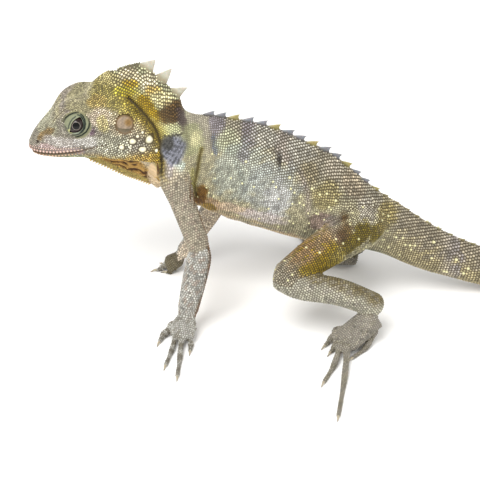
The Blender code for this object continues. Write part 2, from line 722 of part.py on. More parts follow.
def paint(made, name, colour, roughness):
    """Give an object a plain material and shade its round forms smooth."""
    material = bpy.data.materials.get(name) or bpy.data.materials.new(name)
    material.use_nodes = True
    shader = material.node_tree.nodes["Principled BSDF"]
    shader.inputs["Base Color"].default_value = (*colour, 1.0)
    shader.inputs["Roughness"].default_value = roughness
    shader.inputs["Metallic"].default_value = 0.0
    made.data.materials.clear()
    made.data.materials.append(material)
    made.data.shade_smooth()


def gather(parts):
    """Put the finished parts in the object's own collection."""
    group = bpy.data.collections.new(COLLECTION)
    bpy.context.scene.collection.children.link(group)
    for part in parts:
        for owner in list(part.users_collection):
            owner.objects.unlink(part)
        group.objects.link(part)


def stand_on_floor(parts):
    """Shift all parts so that the whole box is centred on the origin and stands on the floor."""
    corners = np.array([v.co for part in parts for v in part.data.vertices])
    low, high = corners.min(axis=0), corners.max(axis=0)
    shift = Vector((-(low[0] + high[0]) / 2, -(low[1] + high[1]) / 2, -low[2]))
    for part in parts:
        for vertex in part.data.vertices:
            vertex.co += shift
    print("shift in mm:", [round(v / MM, 3) for v in shift])


def main():
    for old in list(bpy.data.objects):
        bpy.data.objects.remove(old)

    head, jaw, head_whole, head_parts = make_head()
    neck = trunk_piece("neck", -CUT_HALF, NECK_END, TRUNK_AROUND)
    plates = [plate("plate", row[:2], row[2:4], row[4:], NUCHAL_PLATE_HALF) for row in NUCHAL_PLATES]
    join(neck, plates)
    cut(neck, [grown(head_whole)])
    torso = trunk_piece("torso", NECK_END, TORSO_END, TRUNK_AROUND)
    join(torso, dorsal_spines(NECK_END, TORSO_END))
    pouch = make_pouch([grown(head_whole), grown(neck)])

    tails = []
    for number, (start, end) in enumerate(zip(TAIL_CUTS, TAIL_CUTS[1:]), start=1):
        tail = trunk_piece(f"tail_{number}", start, end, TAIL_AROUND if number > 1 else TRUNK_AROUND)
        join(tail, dorsal_spines(start, end))
        tails.append(tail)

    limbs, claws = [], []
    for side in ("left", "right"):
        arm = cut(limb_tube("upper_arm_" + side, UPPER_ARM[side]),
                  [grown(b) for b in (neck, torso, head_whole, pouch)])
        forearm = cut(limb_tube("forearm_" + side, FOREARM[side]), [grown(arm)])
        hand, hand_claws = make_paw("hand_" + side, HANDS[side], [grown(forearm)])
        thigh = cut(limb_tube("thigh_" + side, THIGH[side]), [grown(b) for b in (torso, tails[0])])
        shin = cut(limb_tube("shin_" + side, SHIN[side]), [grown(thigh)])
        foot, foot_claws = make_paw("foot_" + side, FEET[side], [grown(shin)])
        limbs += [arm, forearm, hand, thigh, shin, foot]
        claws += hand_claws + foot_claws

    bpy.data.objects.remove(head_whole)
    for part in (head, jaw, neck, torso, *tails):
        paint(part, "olive_skin", OLIVE_SKIN, 0.6)
    for part in limbs:
        paint(part, "grey_skin", GREY_SKIN, 0.6)
    paint(pouch, "pouch_skin", POUCH_SKIN, 0.55)
    for part in claws:
        paint(part, "claw_horn", PALE_HORN, 0.4)
    for part in head_parts:
        is_eye = part.name.startswith("eye")
        paint(part, "eye" if is_eye else "eardrum", DARK_EYE if is_eye else EARDRUM_SKIN,
              0.1 if is_eye else 0.5)
    parts = [head, jaw, neck, torso, pouch, *tails, *limbs, *claws, *head_parts]
    stand_on_floor(parts)
    gather(parts)


main()
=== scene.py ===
import math

import bpy
import numpy as np
from mathutils import Matrix, Vector
from mathutils.bvhtree import BVHTree
from mathutils.kdtree import KDTree


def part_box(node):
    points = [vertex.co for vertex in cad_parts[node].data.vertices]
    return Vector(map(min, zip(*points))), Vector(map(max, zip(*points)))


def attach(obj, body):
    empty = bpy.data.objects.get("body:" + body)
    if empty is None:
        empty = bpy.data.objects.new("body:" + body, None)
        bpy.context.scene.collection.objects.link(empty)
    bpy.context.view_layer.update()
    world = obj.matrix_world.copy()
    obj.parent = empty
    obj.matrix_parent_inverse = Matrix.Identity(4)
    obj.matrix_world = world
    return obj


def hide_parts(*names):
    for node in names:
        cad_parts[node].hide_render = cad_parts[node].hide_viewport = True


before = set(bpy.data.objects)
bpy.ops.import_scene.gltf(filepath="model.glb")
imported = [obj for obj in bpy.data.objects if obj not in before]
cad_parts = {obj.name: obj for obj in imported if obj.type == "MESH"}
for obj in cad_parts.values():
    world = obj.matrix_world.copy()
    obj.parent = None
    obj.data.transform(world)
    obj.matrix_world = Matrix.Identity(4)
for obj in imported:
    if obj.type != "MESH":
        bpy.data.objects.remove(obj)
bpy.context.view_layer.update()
mm = 0.001
pi = math.pi


# Small helpers


def hexToSrgb(hexColour):
    # the three channels, 0 to 1
    return np.array([int(hexColour[k:k + 2], 16) / 255 for k in (1, 3, 5)])


def toLinear(srgb):
    # sRGB to linear: up to 0.04045 the value over 12.92, above it ((value + 0.055) / 1.055)^2.4
    return np.where(srgb <= 0.04045, srgb / 12.92, ((srgb + 0.055) / 1.055) ** 2.4)


def mix(colours, other, share):
    # from the first colours to the others by each point's share; a hex colour stands for every point
    first, second = (hexToSrgb(v) if isinstance(v, str) else v for v in (colours, other))
    return first + (second - first) * np.asarray(share)[:, None]


def smoothStep(low, high, value):
    # 0 below low, 1 above high, and 3t^2 - 2t^3 between
    t = np.clip((value - low) / (high - low), 0, 1)
    return t * t * (3 - 2 * t)


def bell(distance, half):
    # a bell curve: 1 at no distance, 1 / e at the half width
    return np.exp(-(distance / half) ** 2)


def unit(vectors):
    return vectors / np.maximum(np.linalg.norm(vectors, axis=-1, keepdims=True), 1e-9)


def splineAt(rows, places):
    # Catmull-Rom curve: it passes each row in turn, with half the step between a row's neighbours as slope
    rows = np.asarray(rows, float)
    padded = np.vstack([2 * rows[0] - rows[1], rows, 2 * rows[-1] - rows[-2]])
    places = np.clip(np.asarray(places, float), 0, len(rows) - 1)
    index = np.minimum(places.astype(int), len(rows) - 2)
    t = (places - index)[:, None]
    return blendFour([padded[index + k] for k in range(4)], t)


def blendFour(four, t):
    before, start, end, after = four
    return 0.5 * (
        2 * start + (end - before) * t + (2 * before - 5 * start + 4 * end - after) * t**2
        + (3 * start - before - 3 * end + after) * t**3
    )


def ripple(points, size, seed):
    # smooth unevenness from about -1 to 1: the mean of seven sine waves of this length in seeded directions
    draw = np.random.default_rng(seed)
    ways = unit(draw.normal(size=(7, 3))) * 2 * pi / size * draw.uniform(0.6, 1.5, (7, 1))
    return np.clip(np.sin(points @ ways.T + draw.uniform(0, 2 * pi, 7)).mean(axis=1) * 2.2, -1, 1)


def lineDistance(points, line):
    # distance of each point to the nearest piece of an open line
    line = np.asarray(line, float)
    best = np.full(len(points), 1e9)
    for start, end in zip(line, line[1:]):
        along = end - start
        t = np.clip(((points - start) @ along) / max(along @ along, 1e-12), 0, 1)
        best = np.minimum(best, np.linalg.norm(points - start - t[:, None] * along, axis=1))
    return best


def makeObject(name, points, faces):
    # points in mm of the shape's own frame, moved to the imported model's place and turned to metres
    mesh = bpy.data.meshes.new(name)
    mesh.vertices.add(len(points))
    mesh.vertices.foreach_set("co", ((np.asarray(points) + shift) * mm).astype(np.float32).ravel())
    mesh.loops.add(faces.size)
    mesh.loops.foreach_set("vertex_index", faces.astype(np.int32).ravel())
    mesh.polygons.add(len(faces))
    mesh.polygons.foreach_set("loop_start", np.arange(0, faces.size, faces.shape[1], dtype=np.int32))
    mesh.update(calc_edges=True)
    made = bpy.data.objects.new(name, mesh)
    bpy.context.scene.collection.objects.link(made)
    mesh.shade_smooth()
    return made


def storeColour(made, colours):
    # one linear colour a point, which the materials read
    layer = made.data.attributes.new("tint", "FLOAT_COLOR", "POINT")
    full = np.ones((len(colours), 4), np.float32)
    full[:, :3] = toLinear(np.clip(colours, 0, 1))
    layer.data.foreach_set("color", full.ravel())


def ringFaces(rings, around, steps):
    # two triangles for each cell between rings that close round, for this many steps from ring to ring
    i, j = (v.ravel() for v in np.meshgrid(np.arange(steps), np.arange(around), indexing="ij"))
    k, n = (j + 1) % around, (i + 1) % rings
    a, b, c, d = i * around + j, i * around + k, n * around + k, n * around + j
    return np.vstack([np.stack([a, b, c], 1), np.stack([a, c, d], 1)])


def facingOut(points, triangles, centre=0.0):
    # turned over where their signed volume about the centre is negative
    corner = points[triangles] - centre
    volume = np.einsum("ij,ij->i", np.cross(corner[:, 0], corner[:, 1]), corner[:, 2]).sum()
    return triangles if volume > 0 else triangles[:, ::-1]


def closedLoft(grid):
    # rings of points closed round, with a fan over each end
    rings, around = grid.shape[:2]
    points = np.vstack([grid.reshape(-1, 3), grid[0].mean(axis=0), grid[-1].mean(axis=0)])
    j, last = np.arange(around), (rings - 1) * around
    k = (j + 1) % around
    front = np.stack([np.full(around, rings * around), k, j], 1)
    rear = np.stack([np.full(around, rings * around + 1), last + j, last + k], 1)
    return points, facingOut(points, np.vstack([ringFaces(rings, around, rings - 1), front, rear]))


def joinShapes(shapes):
    # several shapes' points and triangles as one shape's
    points, triangles, offset = [], [], 0
    for shapePoints, shapeTriangles in shapes:
        points.append(shapePoints)
        triangles.append(shapeTriangles + offset)
        offset += len(shapePoints)
    return np.vstack(points), np.vstack(triangles)


def ballShape(centre, radius, segments=48, rings=32):
    # a sphere: rings of latitude from pole to pole
    tilt = np.linspace(0.02, pi - 0.02, rings)
    turn = np.linspace(0, 2 * pi, segments, endpoint=False)
    ring = np.stack([np.cos(turn), np.sin(turn)], 1)
    grid = np.concatenate([ring[None] * np.sin(tilt)[:, None, None],
                           np.broadcast_to(np.cos(tilt)[:, None, None], (rings, segments, 1))], axis=2)
    return closedLoft(np.asarray(centre) + grid * radius)


# The animal's form, as in the solids

trunkForm = {
    # each rib: ridge x and z, belly x and z, half width, narrowing towards the ridge
    "ribs": (
        (-52.5, 98.0, -42.0, 69.0, 6.0, 0.55), (-47.8, 101.7, -40.0, 62.0, 8.2, 0.74),
        (-42.6, 103.5, -37.0, 57.5, 9.2, 0.82), (-38.0, 104.0, -33.8, 54.2, 9.7, 0.82),
        (-33.4, 99.8, -31.0, 52.0, 10.2, 0.82), (-28.7, 95.2, -28.4, 50.2, 10.6, 0.80),
        (-24.2, 90.0, -26.0, 48.4, 11.0, 0.76), (-22.0, 84.2, -23.5, 46.6, 11.3, 0.62),
        (-18.0, 82.0, -21.0, 44.6, 11.6, 0.55), (-11.5, 81.3, -16.5, 41.6, 12.0, 0.52),
        (-3.5, 79.9, -9.5, 38.1, 12.7, 0.50), (7.0, 77.6, 0.0, 34.4, 13.5, 0.50),
        (17.0, 74.2, 10.0, 31.2, 14.0, 0.50), (26.5, 69.2, 19.0, 28.2, 14.1, 0.50),
        (35.6, 64.5, 28.0, 25.7, 13.4, 0.50), (43.6, 58.0, 36.0, 24.3, 12.4, 0.48),
        (50.6, 51.5, 44.0, 23.0, 11.0, 0.45), (57.5, 45.8, 51.5, 21.2, 9.6, 0.42),
        (65.0, 40.6, 59.0, 18.8, 8.5, 0.40), (72.5, 34.9, 67.0, 14.8, 7.7, 0.38),
        (80.5, 29.6, 75.5, 11.1, 7.0, 0.36), (89.0, 25.0, 85.0, 8.0, 6.4, 0.34),
        (99.0, 20.6, 96.0, 4.6, 6.0, 0.32), (110.0, 16.7, 108.5, 1.5, 5.6, 0.30),
        (122.0, 14.0, 121.5, -1.0, 5.3, 0.28),
    ),
    "widestLevel": 0.43, "bellyFullness": 0.12, "rings": 560, "around": 96,
    # the tail on the floor: ribs, mm of length, of swing and at the tip, and its curves' power and shares
    "laidRibs": 22, "laidLength": 232.0, "tipHeight": 1.5, "tipHalfWidth": 0.75, "bend": 20.0,
    "flattened": 0.07,
    "taper": 0.85, "shorter": 0.02, "swings": 1.25,
}


def laidTailRibs():
    # height and width fall as (1 - t)^taper, the side swings as half a cosine wave
    last, form, count = trunkForm["ribs"][-1], trunkForm, trunkForm["laidRibs"]
    t = np.arange(1, count + 1) / count
    taper = (1 - t) ** form["taper"]
    height = form["tipHeight"] + (last[1] - form["tipHeight"]) * taper
    half = form["tipHalfWidth"] + (last[4] - form["tipHalfWidth"]) * taper
    x = last[0] + form["laidLength"] * t * (1 - form["shorter"] * t)
    swing = lambda at: form["bend"] * (0.5 - 0.5 * np.cos(pi * np.maximum(at, 0) * form["swings"]))
    slope = (swing(t + 0.001) - swing(t - 0.001)) / (0.002 * form["laidLength"])
    return np.stack([x, height, x, -form["flattened"] * height, half, np.full(count, last[5]), swing(t),
                     -np.arctan(slope)], 1)


# columns: a rib's six numbers, then how far it lies to the side and its heading
allRibs = np.vstack([[(*rib, 0.0, 0.0) for rib in trunkForm["ribs"]], laidTailRibs()])


def trunkGrid(places, around):
    # each ring: cosine times the way up to the ridge or down to the belly, sine times the half width,
    # narrowed above by cosine^1.5 and filled below
    ribs = splineAt(allRibs, places)[:, None]
    angle = np.linspace(0, 2 * pi, around, endpoint=False)
    above, below = np.maximum(np.cos(angle), 0)[None, :, None], np.maximum(-np.cos(angle), 0)[None, :, None]
    ridge, belly = ribs[..., 0:2], ribs[..., 2:4]
    widest = belly + trunkForm["widestLevel"] * (ridge - belly)
    flat = widest + above * (ridge - widest) + below * (belly - widest)
    across = ribs[..., 4] * np.sin(angle) * (1 - ribs[..., 5] * above[..., 0]**1.5)
    across = across * (1 + trunkForm["bellyFullness"] * np.sin(pi * below[..., 0]))
    heading = ribs[..., 7]
    return np.stack([flat[..., 0] + across * np.sin(heading), ribs[..., 6] + across * np.cos(heading),
                     np.maximum(flat[..., 1], 0)], axis=2)


headForm = {
    "snoutTip": (-83.6, 68.5), "noseDown": math.radians(6.0),
    # each section: a, crown c, then b and c of brow, cheek, lip and jaw edge, throat c
    "sections": (
        (0.3, 2.6, 1.2, 2.1, 1.7, 0.8, 1.7, -0.8, 1.2, -1.9, -2.1),
        (2.0, 5.2, 2.3, 4.8, 3.2, 2.4, 3.6, -1.0, 2.9, -2.5, -2.8),
        (5.0, 8.2, 3.5, 8.0, 4.7, 4.0, 5.6, -1.3, 4.8, -2.9, -3.4),
        (10.0, 12.4, 5.2, 12.5, 6.4, 6.0, 7.7, -1.4, 6.7, -3.1, -4.1),
        (15.0, 16.9, 7.2, 18.2, 8.2, 8.0, 9.1, -0.8, 8.0, -3.2, -4.7),
        (21.0, 19.6, 8.6, 20.8, 9.9, 11.5, 10.3, 0.2, 9.2, -3.2, -5.3),
        (27.0, 22.0, 8.0, 20.8, 11.0, 11.5, 11.4, 2.2, 10.4, -3.5, -6.0),
        (33.0, 25.6, 5.6, 20.8, 11.6, 11.5, 12.5, 2.8, 11.5, -4.2, -6.8),
        (40.0, 28.2, 4.2, 21.8, 11.8, 12.0, 13.3, 1.5, 12.0, -5.8, -8.3),
        (46.0, 29.0, 3.4, 21.0, 10.8, 12.0, 12.4, 0.4, 10.6, -7.6, -10.0),
        (49.5, 24.5, 2.4, 17.5, 7.8, 10.5, 9.0, 0.0, 7.6, -6.6, -8.6),
        (51.0, 17.0, 1.2, 13.0, 3.6, 8.6, 4.2, 1.2, 3.6, -3.4, -4.6),
    ),
    "leanStart": 24.0, "lean": 0.36, "leanLevel": 8.0, "leanSpan": 20.0,
    "mouthLine": ((-3.0, -1.5), (5.0, -1.6), (10.0, -1.5), (15.0, -0.9), (21.0, -0.2), (27.0, 1.8),
                  (33.0, 2.8)),
    "nostril": (4.0, 4.3, 2.9), "ear": (40.2, 11.9, 10.8), "earRadius": 3.7,
    # rings ahead of the first that round the snout: share of its size, and mm ahead
    "snoutRings": ((0.45, 0.55), (0.8, 0.3)),
    "rings": 110, "around": 90,
}


def headPoint(a, b, c):
    # a back from the snout tip, b to the animal's left and c up, with the nose pitched down
    a, b, c = (np.asarray(v, float) for v in (a, b, c))
    tilt, (tipX, tipZ) = headForm["noseDown"], headForm["snoutTip"]
    x = tipX + a * math.cos(tilt) - c * math.sin(tilt)
    z = tipZ + a * math.sin(tilt) + c * math.cos(tilt)
    return np.stack(np.broadcast_arrays(x, -b, z), axis=-1)


def headPlaces(points):
    # the other way: a, b and c of points
    tilt, (tipX, tipZ) = headForm["noseDown"], headForm["snoutTip"]
    x, z = points[:, 0] - tipX, points[:, 2] - tipZ
    return np.stack([x * math.cos(tilt) + z * math.sin(tilt), -points[:, 1],
                     z * math.cos(tilt) - x * math.sin(tilt)], 1)


def headGrid(count, around):
    # a closed Catmull-Rom loop through crown, brow, cheek, lip, jaw and throat on both sides
    rows = splineAt(headForm["sections"], np.linspace(0, len(headForm["sections"]) - 1, count))
    a, crown, throat = rows[:, 0], rows[:, 1], rows[:, 10]
    half = rows[:, 2:10].reshape(-1, 4, 2)
    middle = lambda c: np.stack([np.zeros(count), c], 1)[:, None]
    loop = np.concatenate([middle(crown), half, middle(throat), half[:, ::-1] * (-1, 1)], axis=1)
    corners = loop.shape[1]
    turn = np.linspace(0, corners, around, endpoint=False)
    index, t = turn.astype(int), (turn % 1)[None, :, None]
    outline = blendFour([loop[:, (index + k - 1) % corners] for k in range(4)], t)
    back = headForm["lean"] * np.maximum(a - headForm["leanStart"], 0)[:, None]
    back = a[:, None] + back * (headForm["leanLevel"] - outline[..., 1]) / headForm["leanSpan"]
    grid = headPoint(back, outline[..., 0], outline[..., 1])
    rounded = [grid[0].mean(axis=0) + (grid[0] - grid[0].mean(axis=0)) * share - (ahead, 0, 0)
               for share, ahead in headForm["snoutRings"]]
    return np.concatenate([np.array(rounded), grid])


pouchForm = {
    # x, lower edge z and half width at the throat
    "sections": ((-63.0, 63.2, 2.2), (-59.4, 61.4, 3.6), (-53.0, 58.2, 4.8), (-47.0, 55.0, 5.6),
                 (-42.0, 53.0, 6.2), (-36.3, 50.6, 6.6), (-33.4, 48.4, 6.4), (-31.0, 50.0, 5.2)),
    "top": 71.0, "edgeHalf": 1.0, "rounding": 0.06, "rings": 60, "around": 48,
    # the pointed scales along its edge: how many, and their height, length, half width, lean and sunk part
    "spines": 24, "spineHeight": 1.25, "spineLength": 1.15, "spineHalf": 0.42, "spineLean": -0.3,
    "spineSink": 0.6,
    "spineColours": ("#a8894a", "#cdb778", "#e0d3a2"),
}


def pouchGrid():
    # a wedge: up each side the half width grows evenly from the rounded lower edge to the throat, and the
    # edge is rounded as a square root
    rows = splineAt(pouchForm["sections"], np.linspace(0, len(pouchForm["sections"]) - 1, pouchForm["rings"]))
    t = np.linspace(0, 1, pouchForm["around"] // 2)
    rounding = np.sqrt(np.clip(t / pouchForm["rounding"], 0, 1))
    edge = pouchForm["edgeHalf"]
    side = (edge + (rows[:, 2:3] - edge) * t[None]) * rounding[None]
    high = rows[:, 1:2] + t[None] * (pouchForm["top"] - rows[:, 1:2])
    right = np.stack([np.broadcast_to(rows[:, 0:1], side.shape), side, high], 2)
    left = right[:, 1:][:, ::-1] * (1, -1, 1)
    return np.concatenate([right, left], axis=1)


limbForm = {
    # points of x, y, z and radius from body to paw
    "upperArmLeft": ((-25.6, -3.5, 66.0, 6.0), (-26.0, -10.2, 60.0, 6.4), (-22.4, -16.2, 50.4, 4.9),
                     (-16.2, -26.8, 37.8, 4.4)),
    "upperArmRight": ((-25.6, 3.5, 66.0, 6.0), (-24.5, 10.2, 60.5, 6.2), (-17.0, 15.0, 47.5, 5.0),
                      (-9.2, 20.2, 34.6, 4.2)),
    "forearmLeft": ((-15.8, -27.8, 37.0, 4.3), (-16.4, -29.0, 31.6, 4.8), (-18.5, -30.8, 21.8, 4.6),
                    (-20.8, -32.6, 11.0, 4.0)),
    "forearmRight": ((-9.6, 20.0, 34.0, 4.1), (-12.2, 19.2, 27.0, 4.5), (-18.6, 17.2, 16.6, 3.6),
                     (-24.0, 15.6, 9.0, 3.0)),
    "thighLeft": ((55.0, -3.5, 34.5, 6.0), (50.0, -9.0, 36.0, 8.4), (33.5, -23.0, 33.4, 7.6),
                  (18.2, -33.4, 27.6, 5.8)),
    "thighRight": ((55.0, 3.5, 34.5, 6.0), (50.0, 9.0, 36.0, 8.2), (34.5, 23.0, 33.4, 7.2),
                   (21.0, 32.5, 27.0, 5.4)),
    "shinLeft": ((17.4, -34.0, 26.8, 5.4), (24.4, -34.6, 23.8, 5.6), (39.0, -35.2, 21.2, 5.3),
                 (52.6, -35.2, 15.4, 4.8)),
    "shinRight": ((20.6, 32.4, 26.2, 5.0), (28.0, 30.2, 22.6, 5.2), (39.6, 25.0, 16.2, 4.4),
                  (50.0, 19.8, 9.4, 3.9)),
}

pawForm = {
    # root, middle of the knuckles, half widths and heights at both, rise of the digits at knuckle and
    # half way, and each digit as knuckle x and y, middle x and y, tip x and y, and root radius
    "handLeft": ((-21.4, -33.0, 8.4), (-23.0, -39.0, 3.1), (4.3, 4.9), (3.3, 3.3), (2.2, 0.0), (
        ((-26.8, -33.6), (-30.4, -35.4), (-32.0, -39.6), 1.9),
        ((-25.6, -38.6), (-27.0, -46.2), (-29.0, -55.8), 1.15),
        ((-23.2, -40.0), (-23.6, -50.6), (-24.2, -63.0), 1.25),
        ((-20.0, -38.8), (-19.5, -42.8), (-19.7, -45.8), 1.25),
        ((-19.0, -34.6), (-18.6, -31.0), (-19.4, -27.8), 1.15))),
    "handRight": ((-24.8, 15.0, 6.6), (-29.6, 15.6, 3.0), (3.4, 4.3), (3.0, 3.4), (1.6, 0.6), (
        ((-28.4, 12.4), (-29.6, 12.1), (-30.6, 12.3), 1.4),
        ((-31.6, 14.8), (-33.5, 14.7), (-35.0, 14.3), 1.25),
        ((-31.2, 16.2), (-32.2, 17.0), (-32.8, 17.9), 1.15),
        ((-30.2, 17.6), (-30.8, 18.8), (-31.2, 19.9), 1.15),
        ((-28.4, 18.6), (-28.7, 20.0), (-28.9, 21.2), 1.15))),
    "footLeft": ((53.4, -36.0, 10.4), (41.8, -43.0, 3.4), (5.2, 6.6), (5.0, 3.6), (2.6, 0.5), (
        ((39.0, -37.4), (36.2, -39.2), (34.0, -42.2), 1.7),
        ((38.6, -42.4), (37.2, -44.8), (36.0, -46.8), 1.35),
        ((39.6, -46.6), (36.8, -56.2), (32.4, -67.0), 1.4),
        ((42.2, -48.4), (40.4, -64.4), (36.8, -88.6), 1.45),
        ((53.4, -37.4), (50.2, -44.0), (44.4, -50.8), 1.5))),
    "footRight": ((49.8, 19.0, 5.2), (38.6, 23.0, 3.0), (4.2, 6.2), (4.4, 3.4), (1.8, 0.5), (
        ((36.8, 18.6), (32.4, 18.0), (28.6, 19.4), 1.5), ((34.8, 22.6), (30.0, 26.6), (26.6, 32.4), 1.3),
        ((35.8, 26.4), (30.0, 34.8), (25.4, 45.6), 1.35), ((38.6, 28.6), (34.6, 43.0), (29.6, 62.4), 1.45),
        ((47.6, 24.4), (48.2, 32.2), (48.0, 40.4), 1.4))),
}
digitForm = {"tipRadius": 0.75, "down": 0.6, "level": 0.8, "swell": 0.14}
clawForm = {
    "length": 2.6, "rootRadius": 0.58, "tipRadius": 0.14, "gap": 0.1, "around": 14,
    "colours": ("#a59b84", "#5d5140"),
}
tubeEnd = {"from": 0.3, "to": 1.42, "rings": 6, "reach": 0.9}  # radians of the half spheres at a tube's ends


def tubeGrid(stations, around, count, flatten=None, roundEnds=(False, False)):
    # rings round a Catmull-Rom centre line, each side way carried along from the last, ends as half spheres
    row = splineAt(stations, np.linspace(0, len(stations) - 1, count))
    centre, radius = row[:, :3], row[:, 3]
    tangent = unit(np.gradient(centre, axis=0))
    wide, tall = ((radius, radius) if flatten is None
                  else splineAt(flatten, np.linspace(0, len(flatten) - 1, count)).T)
    for place, sign in ((0, -1.0), (-1, 1.0)):
        if not roundEnds[place]:
            continue
        root, reach, way = centre[place], radius[place], tangent[place]
        for tilt in np.linspace(tubeEnd["from"], tubeEnd["to"], tubeEnd["rings"]):
            at = 0 if place == 0 else len(centre)
            centre = np.insert(centre, at, root + sign * way * math.sin(tilt) * reach * tubeEnd["reach"],
                               axis=0)
            tangent = np.insert(tangent, at, way, axis=0)
            wide = np.insert(wide, at, math.cos(tilt) * reach)
            tall = np.insert(tall, at, math.cos(tilt) * reach)
    side, sides = np.cross(tangent[0], (0.0, 0.0, 1.0)), []
    for way in tangent:
        side = unit(side - way * (side @ way))
        sides.append(side)
    side = np.array(sides)
    up = np.cross(side, tangent)
    angle = (np.arange(around) + 0.5) * 2 * pi / around
    grid = (centre[:, None] + side[:, None] * (np.cos(angle) * wide[:, None])[..., None]
            + up[:, None] * (np.sin(angle) * tall[:, None])[..., None])
    grid[..., 2] = np.maximum(grid[..., 2], 0)
    return grid


def digitStations(digit, rise):
    # the digit arches over its joints and comes down to the floor, swelling at each joint
    knuckle, middle, tip, radius = digit
    t = np.linspace(0, 1, 9)
    xy = splineAt((knuckle, middle, tip), 2 * t)
    thick = (radius + (digitForm["tipRadius"] - radius) * t) * (1 + digitForm["swell"] * np.cos(4 * pi * t)
                                                                * (1 - 0.5 * t))
    up = np.minimum(t / digitForm["down"], 1)
    lift = rise[0] * (1 - up) ** 1.5 + rise[1] * np.sin(pi * up)
    return np.column_stack([xy, digitForm["level"] * thick + lift, thick])


def pawGrids(paw):
    # palm and digits as tubes, and the root and way of each claw; the palm runs past the knuckles, thinner
    root, knuckles, wide, tall, rise, digits = paw
    root, knuckles = np.array(root), np.array(knuckles)
    steps = (0.0, 0.35, 0.7, 1.0, 1.18)
    stations = [(*(root + (knuckles - root) * t), 1.0) for t in steps]
    flatten = [(wide[0] + (wide[1] - wide[0]) * t, tall[0] + (tall[1] - tall[0]) * t) for t in steps[:-1]]
    flatten.append((wide[1] * 0.72, tall[1] * 0.7))
    palm = tubeGrid(stations, 40, 30, flatten)
    fingers, claws = [], []
    for digit in digits:
        rows = digitStations(digit, rise)
        inward = np.array([*(root[:2] * 0.4 + np.array(digit[0]) * 0.6), rows[0, 2], digit[3]])
        fingers.append(tubeGrid(np.vstack([inward, rows]), 22, 44, roundEnds=(False, True)))
        ahead = unit(rows[-1, :3] - rows[-2, :3])
        claws.append((rows[-1, :3] + ahead * rows[-1, 3] * 0.55, ahead))
    return palm, fingers, claws


eyeForm = {
    "centre": (21.3, 7.5, 10.9), "ballRadius": 4.3, "lidRadius": 4.85,
    "lookUp": math.radians(14),
    # in the plane across the eye's axis, mm backward and mm up: the opening, counted round from behind,
    # and the fine folds round it with their depths and half widths
    "opening": ((2.55, -0.1), (2.45, 1.2), (2.05, 2.4), (1.45, 3.15), (0.85, 3.0), (0.0, 2.6), (-0.9, 1.9),
                (-1.6, 0.9),
                (-2.0, -0.3), (-2.35, -1.6), (-2.75, -2.75), (-1.8, -2.85), (-0.6, -2.75), (0.9, -2.35),
                (2.0, -1.4)),
    "lidReach": 6.6, "rimHeight": 0.42, "middle": (-0.15, 0.1), "lidAround": 240, "lidLevels": 84,
    "lidThickness": 0.45,
    "cornea": 0.22, "rampReach": 5.0,  # mm that the ball bulges, and over which the iris' colours run
    "folds": (
        (0.34, 0.17, ((-5.7, -1.0), (-5.5, 0.2), (-5.0, 1.5), (-4.0, 2.9), (-2.6, 4.1), (-1.0, 4.9),
                      (0.8, 5.3))),
        (0.26, 0.15, ((1.9, 4.5), (2.7, 3.7), (3.3, 2.4), (3.5, 0.6), (3.2, -1.2), (2.2, -2.6), (0.7, -3.6),
                      (-1.1, -4.2), (-2.9, -4.5), (-4.0, -4.3))),
        (0.32, 0.17, ((3.9, 4.3), (4.9, 3.0), (5.2, 1.2), (4.8, -0.8), (3.7, -2.7), (2.0, -4.1), (0.0, -5.0),
                      (-1.9, -5.4))),
        (0.22, 0.13, ((2.2, 3.3), (2.9, 1.8), (3.0, 0.2), (2.6, -1.5), (1.4, -2.9))),
        (0.22, 0.14, ((-6.3, -0.1), (-6.0, -1.4), (-5.2, -2.7), (-4.6, -3.9))),
        (0.16, 0.12, ((-5.2, -1.6), (-4.9, -2.6), (-4.3, -3.6))),
        (0.14, 0.12, ((-5.9, 1.6), (-5.3, 2.7), (-4.4, 3.8))),
        (0.12, 0.12, ((0.6, 4.2), (1.5, 4.0), (2.2, 3.2))),
        (0.1, 0.1, ((-3.4, -3.4), (-4.6, -3.3))), (0.1, 0.1, ((-3.6, -2.5), (-4.9, -2.0))),
        (0.1, 0.1, ((-3.7, -1.6), (-4.9, -0.7))),
        (0.08, 0.1, ((-3.1, -1.4), (-2.9, 0.0), (-2.3, 1.4), (-1.4, 2.7), (-0.2, 3.5))),
    ),
}


def eyeAxes(side):
    # the eye's centre, its axis outward, and the way up across the axis
    a, b, c = eyeForm["centre"]
    tilt = eyeForm["lookUp"]
    out = np.array([0.0, -math.cos(tilt) * side, math.sin(tilt)])
    return headPoint(a, b * side, c), out, np.array([0.0, math.sin(tilt) * side, math.cos(tilt)])


def eyePlaces(points, side):
    # places in the eye's own frame: backward, up across the axis, and out along the axis
    centre, out, up = eyeAxes(side)
    local = points - centre
    return np.stack([local[:, 0], local @ up, local @ out], 1)


eyeBox = [np.array(v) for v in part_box("eye_left")]
# from the shape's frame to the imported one
shift = (eyeBox[0] + eyeBox[1]) / 2 / mm - headPoint(*eyeForm["centre"])
print("shift in mm", np.round(shift, 3))


# The forms as grids, each with its scale size in mm, place on the unwrap and order


def turnOf(around):
    # from the share round a form to 0 at the ridge and 1 at the belly, on either side
    return np.abs(((around + 0.5) % 1) - 0.5) * 2


def ribsOf(along):
    return along * (len(allRibs) - 1)


def coarseBack(turn, ribs):
    # 1 on the crest's root and on the back behind the shoulder, further down towards the rear
    low = 0.2 + 0.02 * np.clip(ribs - 9.5, 0, 4)
    return (1 - smoothStep(low, low + 0.2, turn)) * np.maximum(1 - smoothStep(5.8, 6.8, ribs),
                                                               smoothStep(8.6, 10.4, ribs))


